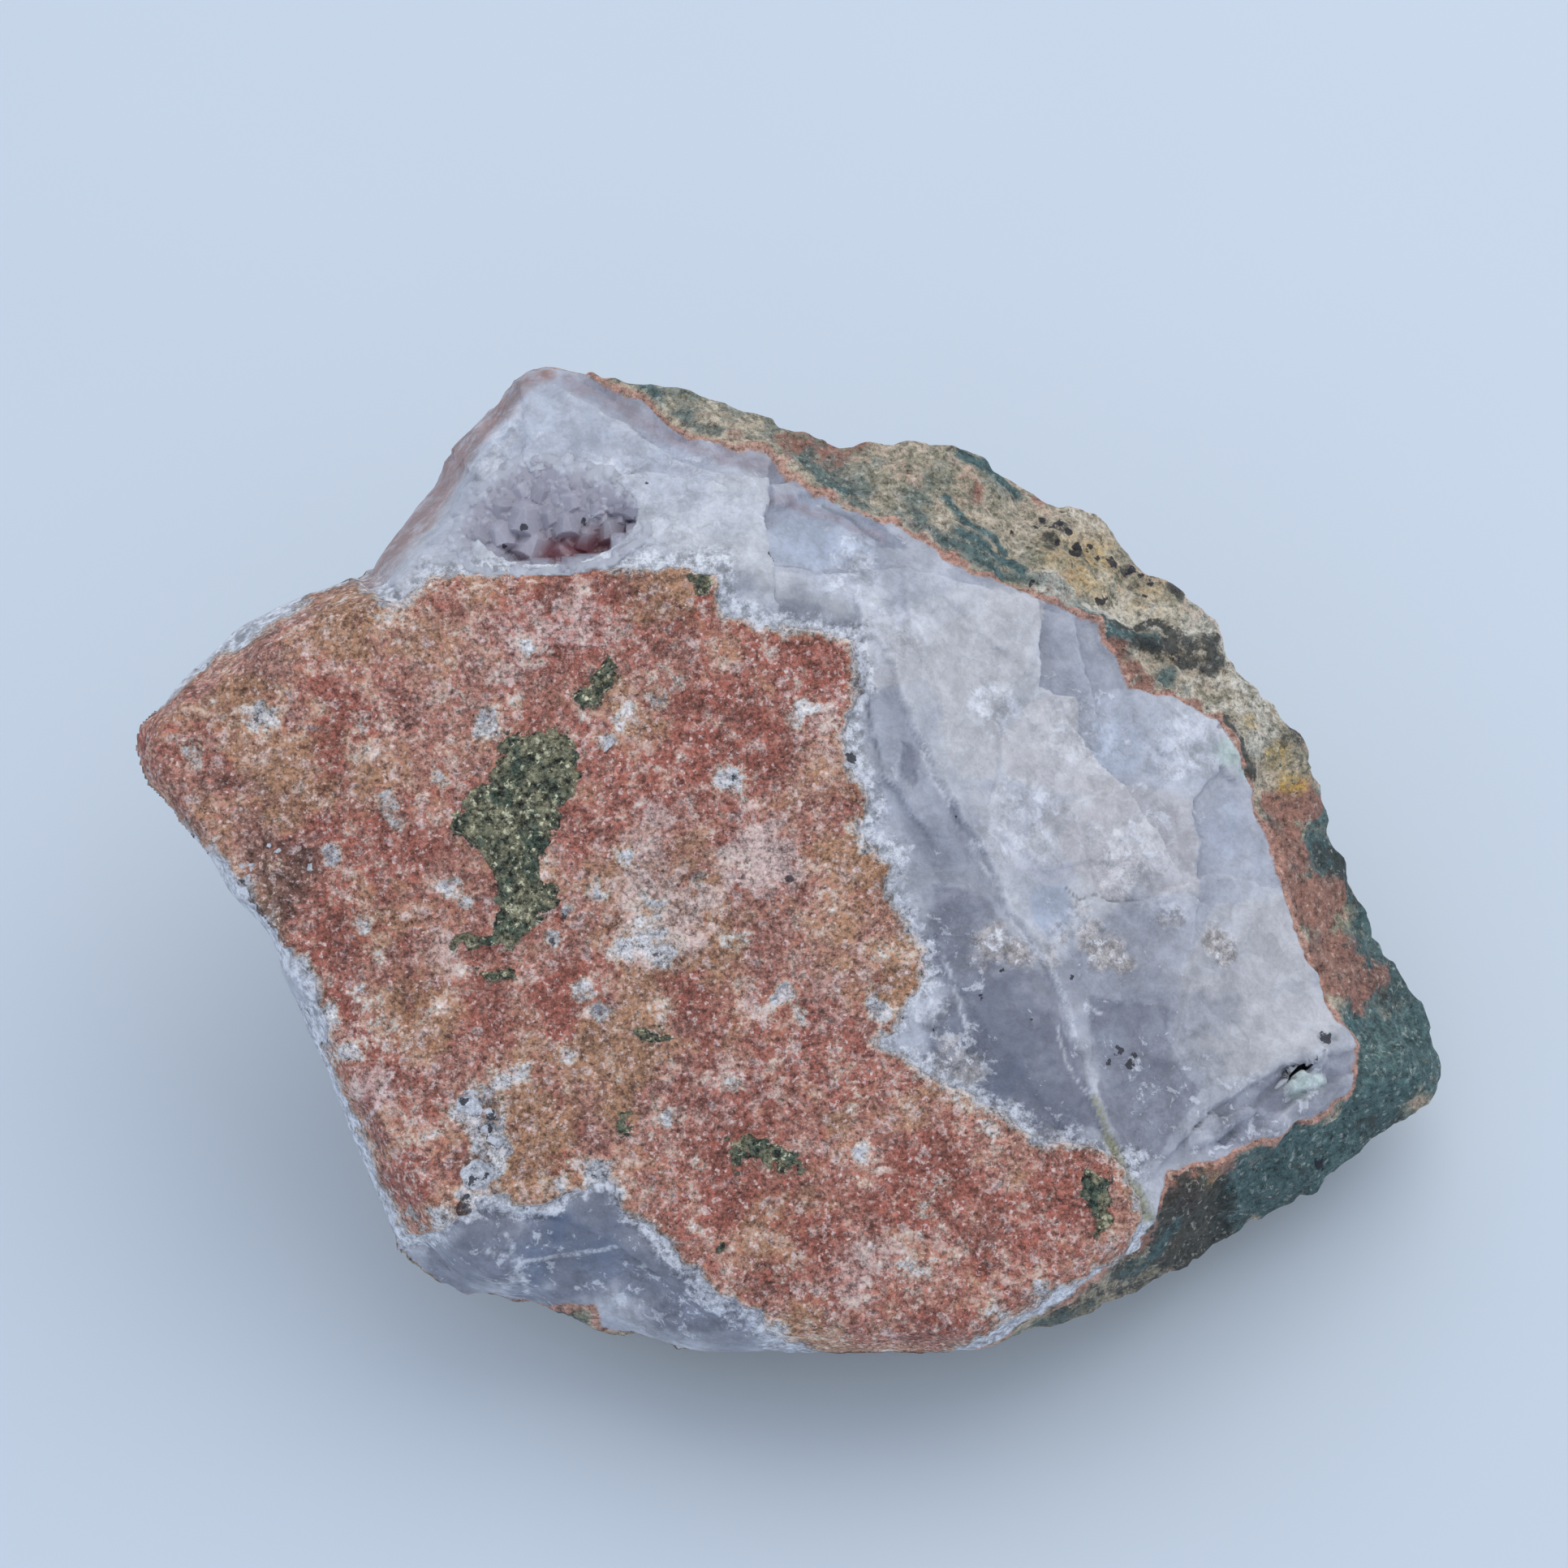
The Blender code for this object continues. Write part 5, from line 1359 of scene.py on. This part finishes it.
def rockShader(tree, vector):
    look = rockLook
    # the grain runs in below the crust face, so that it looks even on the steep broken sides
    turn = {"Vector": vector, "Angle": -math.radians(stance["faceTilt"])}
    turned = addNode(tree, "ShaderNodeVectorRotate", turn, rotation_type="X_AXIS").outputs[0]
    vector = vectorNode(tree, "MULTIPLY", turned, look["bedding"])
    broad = noiseNode(tree, vector, 0.012, 4.0, 0.6, 0.3)
    patches = noiseNode(tree, vector, 0.0055, 5.0, 0.7, 0.2)
    other = noiseNode(tree, vector, 0.0080, 6.0, 0.7, 0.2)
    fine = noiseNode(tree, vector, 0.0015, 5.0, 0.75)
    grain = useGroup(tree, "grain", {"Vector": vector, "Size": look["grain"]})
    edge = mask(tree, "rockEdge")
    colour = mixColour(tree, rangeNode(tree, weighted(tree, (broad, 0.6), (fine, 0.4)), 0.40, 0.58),
                       look["olive"], look["tan"])
    pale = weighted(tree, (fine, 0.6), (other, 0.4), (mask(tree, "paleRock"), 0.15))
    colour = mixColour(tree, rangeNode(tree, pale, 0.52, 0.68, 0.0, 0.85), colour, look["pale"])
    teal = weighted(tree, (patches, 0.6), (fine, 0.4), (mask(tree, "tealRock"), 0.26))
    mottled = rangeNode(tree, mask(tree, "tealRock"), 0.4, 1.0, 0.5, 1.0)
    teal = times(tree, rangeNode(tree, teal, 0.54, 0.66, 0.0, 0.95), mottled)
    colour = mixColour(tree, teal, colour, look["teal"])
    sea = weighted(tree, (fine, 0.8), (mask(tree, "tealRock"), 0.12))
    colour = mixColour(tree, rangeNode(tree, sea, 0.56, 0.74, 0.0, 0.55), colour, look["sea"])
    salmon = weighted(tree, (broad, -0.5), (fine, 0.5), (mask(tree, "tealRock"), -0.25))
    colour = mixColour(tree, rangeNode(tree, salmon, 0.0, 0.10, 0.0, 0.6), colour, look["salmon"])
    red = weighted(tree, (other, 0.5), (fine, 0.5), (mask(tree, "redRock"), 0.30))
    colour = mixColour(tree, rangeNode(tree, red, 0.57, 0.70, 0.0, 0.9), colour, look["red"])
    yellow = times(tree, mask(tree, "yellowRock"), rangeNode(tree, fine, 0.38, 0.6, 0.1, 0.9))
    colour = mixColour(tree, yellow, colour, look["yellow"])
    # dark rock, and painted shade in the rind's hollow and on its underside
    dark = weighted(tree, (fine, 1.0), (mask(tree, "darkRockAndShade"), 0.32))
    colour = mixColour(tree, rangeNode(tree, dark, 0.62, 0.80, 0.0, 0.92), colour, look["dark"])
    band = times(tree, rangeNode(tree, edge, 0.8, 1.3), rangeNode(tree, edge, 2.6, 1.7))
    unmarked = weighted(tree, (mask(tree, "redRock"), -0.9), (mask(tree, "paleRock"), -0.5), offset=1.0)
    unmarked = times(tree, unmarked, rangeNode(tree, patches, 0.40, 0.55, 0.0, 0.75))
    colour = mixColour(tree, times(tree, band, unmarked), colour, look["teal"])
    line = weighted(tree, (edge, 1.0), (patches, -1.8), (fine, -0.3))
    line = times(tree, rangeNode(tree, line, -0.30, -0.55), rangeNode(tree, other, 0.36, 0.46))
    colour = mixColour(tree, times(tree, line, 0.85), colour, look["line"])
    colour = mixColour(tree, times(tree, grain["Pores"], 0.6), colour, look["dark"])
    colour = mixColour(tree, times(tree, grain["Glints"], 0.3), colour, look["pale"])
    light = weighted(tree, (grain["Light"], 0.7), (fine, 1.0), offset=-0.32)
    colour = grained(tree, colour, light, 0.30, 1.80)
    colour = inked(tree, vector, colour)
    height = weighted(tree, (fine, 1.0), (patches, 0.6), (grain["Relief"], 0.5))
    return principled(tree, {"Base Color": colour, "Roughness": look["roughness"],
                             "Normal": bump(tree, height, 0.0010)})


greenLook = {
    "deep": (0.03, 0.036, 0.025),
    "teal": (0.10, 0.14, 0.10),
    "olive": (0.29, 0.26, 0.16),
    "cream": (0.80, 0.76, 0.52),
    "grain": 0.00040,
    "roughness": 0.8,
}


def greenShader(tree, vector):
    look = greenLook
    patches = noiseNode(tree, vector, 0.0030, 4.0, 0.65, 0.6)
    fine = noiseNode(tree, vector, 0.0013, 5.0, 0.75)
    grain = useGroup(tree, "grain", {"Vector": vector, "Size": look["grain"]})
    tint = weighted(tree, (patches, 0.6), (fine, 0.4))
    colour = mixColour(tree, rangeNode(tree, tint, 0.40, 0.58), look["teal"], look["olive"])
    cream = weighted(tree, (patches, 0.5), (fine, 0.5))
    colour = mixColour(tree, rangeNode(tree, cream, 0.53, 0.68, 0.0, 0.85), colour, look["cream"])
    colour = mixColour(tree, times(tree, grain["Glints"], 0.9), colour, look["cream"])
    colour = mixColour(tree, times(tree, grain["Pores"], 0.95), colour, look["deep"])
    # painted shade: the celadonite is darkened along its rim, within half a millimetre of its edge
    outline = rangeNode(tree, mask(tree, "greenEdge"), 0.5, 0.0)
    colour = mixColour(tree, times(tree, outline, 0.35), colour, look["deep"])
    light = weighted(tree, (grain["Light"], 1.1), (fine, 0.8), offset=-0.48)
    colour = grained(tree, colour, light, 0.1, 2.1)
    height = weighted(tree, (fine, 1.0), (grain["Relief"], 0.8))
    return principled(tree, {"Base Color": colour, "Roughness": look["roughness"],
                             "Normal": bump(tree, height, 0.0008)})


def mixShader(tree, factor, first, second):
    return addNode(tree, "ShaderNodeMixShader", {0: factor, 1: first, 2: second}).outputs[0]


def raggedEdge(tree, vector, name, reachOut, width):
    edge = useGroup(tree, "edge", {"Vector": vector, "Edge": mask(tree, name), "Reach": reachOut})["Edge"]
    return rangeNode(tree, edge, 0.0, width)


def makeStoneMaterial():
    material, tree = newMaterial("Agate and Host Rock")
    vector = addNode(tree, "ShaderNodeTexCoord").outputs["Object"]
    onRock = raggedEdge(tree, vector, "rockEdge", 0.6, 0.22)
    finishMaterial(tree, mixShader(tree, onRock, agateShader(tree, vector), rockShader(tree, vector)))
    return material


def makeCrustMaterial():
    material, tree = newMaterial("Red Crust and Celadonite")
    vector = addNode(tree, "ShaderNodeTexCoord").outputs["Object"]
    onGreen = raggedEdge(tree, vector, "greenEdge", 2.4, 0.2)
    finishMaterial(tree, mixShader(tree, onGreen, crustShader(tree, vector), greenShader(tree, vector)))
    return material


def placePiece(obj, material, node):
    standUp(obj.data)
    obj.data.materials.append(material)
    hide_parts(node)
    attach(obj, "root")
    triangles = sum(len(face.vertices) - 2 for face in obj.data.polygons)
    print(obj.name, len(obj.data.polygons), "faces,", triangles, "triangles")


# Crust of quartz crystals in the pocket: outlines in photo pixels, lengths in mm
druse = {
    "mouth": ((566, 662), (578, 622), (608, 596), (640, 574), (672, 568), (706, 582), (742, 588), (776, 606),
              (798, 634), (790, 660), (764, 676), (752, 688), (724, 692), (700, 701), (672, 698), (640, 707),
              (606, 702), (580, 694)),
    "deepLine": ((650, 700), (700, 694), (745, 682), (784, 664)),
    "shallow": 1.1,
    "deepest": 5.4,
    "deepReach": 3.3,
    "rim": 0.12,  # the finest crystals stand this far above the break round the mouth
    "rimReach": 1.7,
    "spacing": 0.14,
    "thickness": 1.5,
    "slope": 0.85,
    "deepMiddle": (712, 684),  # the darkest, plum crystals stand round this place: the amethyst's plum with painted shade deep in the pocket
    "crystals": (  # (middle x, middle y in pixels, radius in mm, turn in degrees)
        (645, 626, 1.9, 20.0), (611, 650, 1.5, 50.0), (660, 660, 1.8, 0.0), (697, 636, 1.3, 35.0),
        (690, 672, 1.3, 70.0), (722, 656, 1.5, 15.0), (747, 643, 1.4, 40.0), (768, 655, 1.0, 10.0),
        (630, 684, 1.2, 60.0), (600, 680, 1.1, 30.0), (586, 660, 1.1, 80.0), (669, 602, 1.3, 0.0),
        (706, 610, 1.1, 45.0), (735, 622, 0.9, 20.0), (640, 600, 1.0, 65.0), (614, 622, 1.2, 10.0),
        (727, 684, 1.0, 0.0), (755, 672, 1.0, 50.0), (655, 692, 1.0, 20.0), (704, 692, 1.1, 30.0),
        (765, 632, 0.8, 25.0), (675, 630, 1.1, 55.0),
    ),
    "fineSpacing": 0.85,
    "fineRadius": (0.40, 0.85),
    "seed": 5,
}
druseLook = {
    "lavender": (0.46, 0.44, 0.51),
    "mauve": (0.42, 0.33, 0.37),
    "plum": (0.31, 0.14, 0.16),
    "frost": (0.60, 0.61, 0.67),
    "roughness": 0.24,
    "clearness": 0.12,
}


def druseLevel(shown):
    # how far the wall of the pocket stands out of the break, below zero inside its mouth
    inside = signedDistance(shown, druse["mouth"])
    away = lineDistance(shown, druse["deepLine"])
    share = np.exp(-((away / druse["deepReach"]) ** 2))
    depth = druse["shallow"] + (druse["deepest"] - druse["shallow"]) * share
    slant = 0.6 + 3.0 * smoothStep(away, 1.0, 4.5)
    rim = druse["rim"] + 0.3 * smoothStep(-away, -3.0, -1.0)
    rim -= (rim + 1.0) * smoothStep(-inside, 0.6, druse["rimReach"])
    return rim - depth * smoothStep(inside / slant, -0.1, 1.0)


def growCrystal(shown, level, tone, centre, radius, turn, top, lean, shade):
    # a six-sided quartz crystal: three large end faces, three small ones and its upright sides
    near = np.abs(shown - centre).max(1) < radius * 1.7
    offset = shown[near] - centre
    angles = turn + math.tau * np.arange(6) / 6.0
    across = offset @ np.stack([np.cos(angles), np.sin(angles)])
    large = (across[:, ::2] * druse["slope"]).max(1)
    small = (across[:, 1::2] * 1.5 * druse["slope"] - 0.15 * radius).max(1)
    upright = 3.0 * (across.max(1) - 0.85 * radius)
    height = top - np.maximum(np.maximum(large, small), upright) + offset @ lean
    higher = height > level[near]
    places = np.flatnonzero(near)[higher]
    level[places] = height[higher]
    tone[places] = shade


def growDruse(shown):
    draws = np.random.default_rng(druse["seed"])
    level = druseLevel(shown)
    tone = np.full(len(shown), 0.5)
    low, high = shown.min(0), shown.max(0)
    least, most = druse["fineRadius"]
    rows = [np.arange(start, stop, druse["fineSpacing"]) for start, stop in zip(low, high)]
    centres = np.stack(np.meshgrid(*rows, indexing="ij"), -1).reshape(-1, 2)
    centres += draws.uniform(-0.45, 0.45, centres.shape) * druse["fineSpacing"]
    for centre in centres:
        radius, lift, shade = draws.uniform(least, most), draws.uniform(0.25, 0.6), draws.uniform(0.2, 0.9)
        top = druseLevel(centre[None])[0] + lift * radius
        turn, lean = draws.uniform(0.0, math.tau), draws.uniform(-0.4, 0.4, 2)
        growCrystal(shown, level, tone, centre, radius, turn, top, lean, shade)
    for x, y, radius, turn in druse["crystals"]:
        centre = fromPhoto((x, y))[0]
        top = druseLevel(centre[None])[0] + 0.75 * radius
        lean, shade = draws.uniform(-0.45, 0.45, 2), draws.uniform(0.3, 0.8)
        growCrystal(shown, level, tone, centre, radius, math.radians(turn), top, lean, shade)
    return level, tone


def druseWanted(shown):
    return signedDistance(shown, druse["mouth"]) > -druse["rimReach"]


def makeDruseMesh(base):
    outline = fromPhoto(druse["mouth"])
    shown, places, _, corners = castGrid(base, outline, druse["spacing"], druseWanted)
    level, tone = growDruse(shown)
    toEye = towardsEye(places)
    behind = druseLevel(shown) - druse["thickness"]
    both = np.concatenate([places + toEye * level[:, None], places + toEye * behind[:, None]])
    edges = {(a, b) for face in corners.tolist() for a, b in zip(face, face[1:] + face[:1])}
    count = len(shown)
    faces = corners.tolist() + (corners[:, ::-1] + count).tolist()
    faces += [(b, a, a + count, b + count) for a, b in sorted(edges) if (b, a) not in edges]
    mesh = bpy.data.meshes.new("druse")
    mesh.from_pydata(both.tolist(), [], faces)
    fromDeep = np.linalg.norm((shown - fromPhoto(druse["deepMiddle"])) * (0.62, 1.0), axis=1)
    masks = {
        # the amethyst's plum, painted darker as painted shade the deeper the crystals stand in the pocket
        "deep": smoothStep(-level, 1.2, 4.2) * smoothStep(-fromDeep, -6.5, -1.0),
        "tone": tone,
        "inside": smoothStep(signedDistance(shown, druse["mouth"]), -0.6, 1.4),
        "speck": spotMask(shown, "druseSpeck", 0.0),
    }
    for name, values in masks.items():
        addMask(mesh, name, np.concatenate([values, values]))
    bm = bmesh.new()
    bm.from_mesh(mesh)
    bmesh.ops.delete(bm, geom=[vert for vert in bm.verts if not vert.link_faces], context="VERTS")
    bmesh.ops.recalc_face_normals(bm, faces=bm.faces)
    bm.to_mesh(mesh)
    bm.free()
    return mesh


def makeDruseMaterial():
    look = druseLook
    material, tree = newMaterial("Amethyst Quartz")
    vector = addNode(tree, "ShaderNodeTexCoord").outputs["Object"]
    cloud = noiseNode(tree, vector, 0.004, 3.0, 0.6, 0.4)
    fine = noiseNode(tree, vector, 0.0009, 4.0, 0.7)
    # plum of the amethyst, and painted shade: darker the deeper in the pocket
    deep = weighted(tree, (mask(tree, "deep"), 1.0), (cloud, 0.3), (mask(tree, "tone"), 0.25))
    colour = mixColour(tree, rangeNode(tree, deep, 0.25, 0.85), look["lavender"], look["mauve"])
    colour = mixColour(tree, rangeNode(tree, deep, 0.70, 1.25), colour, look["plum"])
    frost = weighted(tree, (fine, 1.0), (cloud, 0.7), (mask(tree, "tone"), 0.4),
                     (mask(tree, "inside"), -0.45))
    colour = mixColour(tree, rangeNode(tree, frost, 0.66, 1.05, 0.0, 0.9), colour, look["frost"])
    colour = grained(tree, colour, mask(tree, "tone"), 0.82, 1.18)
    colour = inked(tree, vector, colour)
    rough = weighted(tree, (cloud, 0.2), (mask(tree, "inside"), -0.06), offset=look["roughness"])
    finishMaterial(tree, principled(tree, {
        "Base Color": colour, "Roughness": rough, "IOR": 1.54, "Transmission Weight": look["clearness"],
        "Subsurface Weight": 0.4, "Subsurface Radius": (1.0, 0.9, 0.95), "Subsurface Scale": 0.001,
        "Normal": bump(tree, fine, 0.0002, 0.5)}))
    return material


print("making the stone")
stoneObject = makeRoughStone()
print("laying the crust")
crustObject = newObject("crustSkin", makeCrustMesh(stoneObject.data))
crustObject.data.shade_smooth()
placePiece(crustObject, makeCrustMaterial(), "agate_stone")
print("growing the druse")
druseObject = newObject("quartzDruse", makeDruseMesh(stoneObject.data))
placePiece(druseObject, makeDruseMaterial(), "amethyst_druse")
print("breaking the agate")
cutHollows(stoneObject)
refineSeenFaces(stoneObject.data)
dressStone(stoneObject.data)
stoneObject.data.shade_smooth()
placePiece(stoneObject, makeStoneMaterial(), "agate_stone")


# Floor, light and camera; places in metres
studio = {
    "floorSize": 2.0,
    "floorDrop": 0.0002,  # the paper lies this far below the foot
    "floorColour": (0.74, 0.81, 0.89),
    "sensorWidth": 36.0,  # of the camera, in millimetres
    "keyPlace": (0.20, 0.20, 0.66),
    "keySize": 0.75,
    "keyPower": 1.3,
    "keyColour": (1.0, 0.97, 0.86),
    "skyColour": (0.85, 0.95, 1.11),
    "skyStrength": 0.70,
}


def makeFloor():
    bm = bmesh.new()
    bmesh.ops.create_grid(bm, x_segments=1, y_segments=1, size=studio["floorSize"])
    floor = newObject("floor", meshFrom(bm, "floor"))
    floor.location.z = -studio["floorDrop"]
    material, tree = newMaterial("Pale Paper")
    vector = addNode(tree, "ShaderNodeTexCoord").outputs["Object"]
    tone = noiseNode(tree, vector, 0.05, 2.0)
    darker = tuple(0.97 * value for value in studio["floorColour"])
    colour = mixColour(tree, tone, darker, studio["floorColour"])
    finishMaterial(tree, principled(tree, {"Base Color": colour, "Roughness": 0.9}))
    floor.data.materials.append(material)


def makeLight():
    light = bpy.data.lights.new("key", "AREA")
    light.shape = "DISK"
    light.size = studio["keySize"]
    light.energy = studio["keyPower"]
    light.color = studio["keyColour"]
    lamp = newObject("key", light)
    lamp.location = studio["keyPlace"]
    lamp.rotation_euler = (-Vector(studio["keyPlace"])).to_track_quat("-Z", "Y").to_euler()
    world = bpy.data.worlds.new("sky")
    world.use_nodes = True
    background = world.node_tree.nodes["Background"]
    background.inputs["Color"].default_value = (*studio["skyColour"], 1.0)
    background.inputs["Strength"].default_value = studio["skyStrength"]
    bpy.context.scene.world = world


def makeCamera():
    data = bpy.data.cameras.new("camera")
    data.sensor_width = studio["sensorWidth"]
    data.lens = data.sensor_width * stance["sightHeight"] * stance["pixelsPerMm"] / stance["photoWidth"]
    data.clip_start = 0.01
    camera = newObject("camera", data)
    camera.matrix_world = standingMatrix() @ Matrix.Translation((0.0, 0.0, stance["sightHeight"] * mm))
    bpy.context.scene.camera = camera


print("setting the stage")
makeFloor()
makeLight()
makeCamera()
bpy.context.scene.view_settings.view_transform = "Standard"
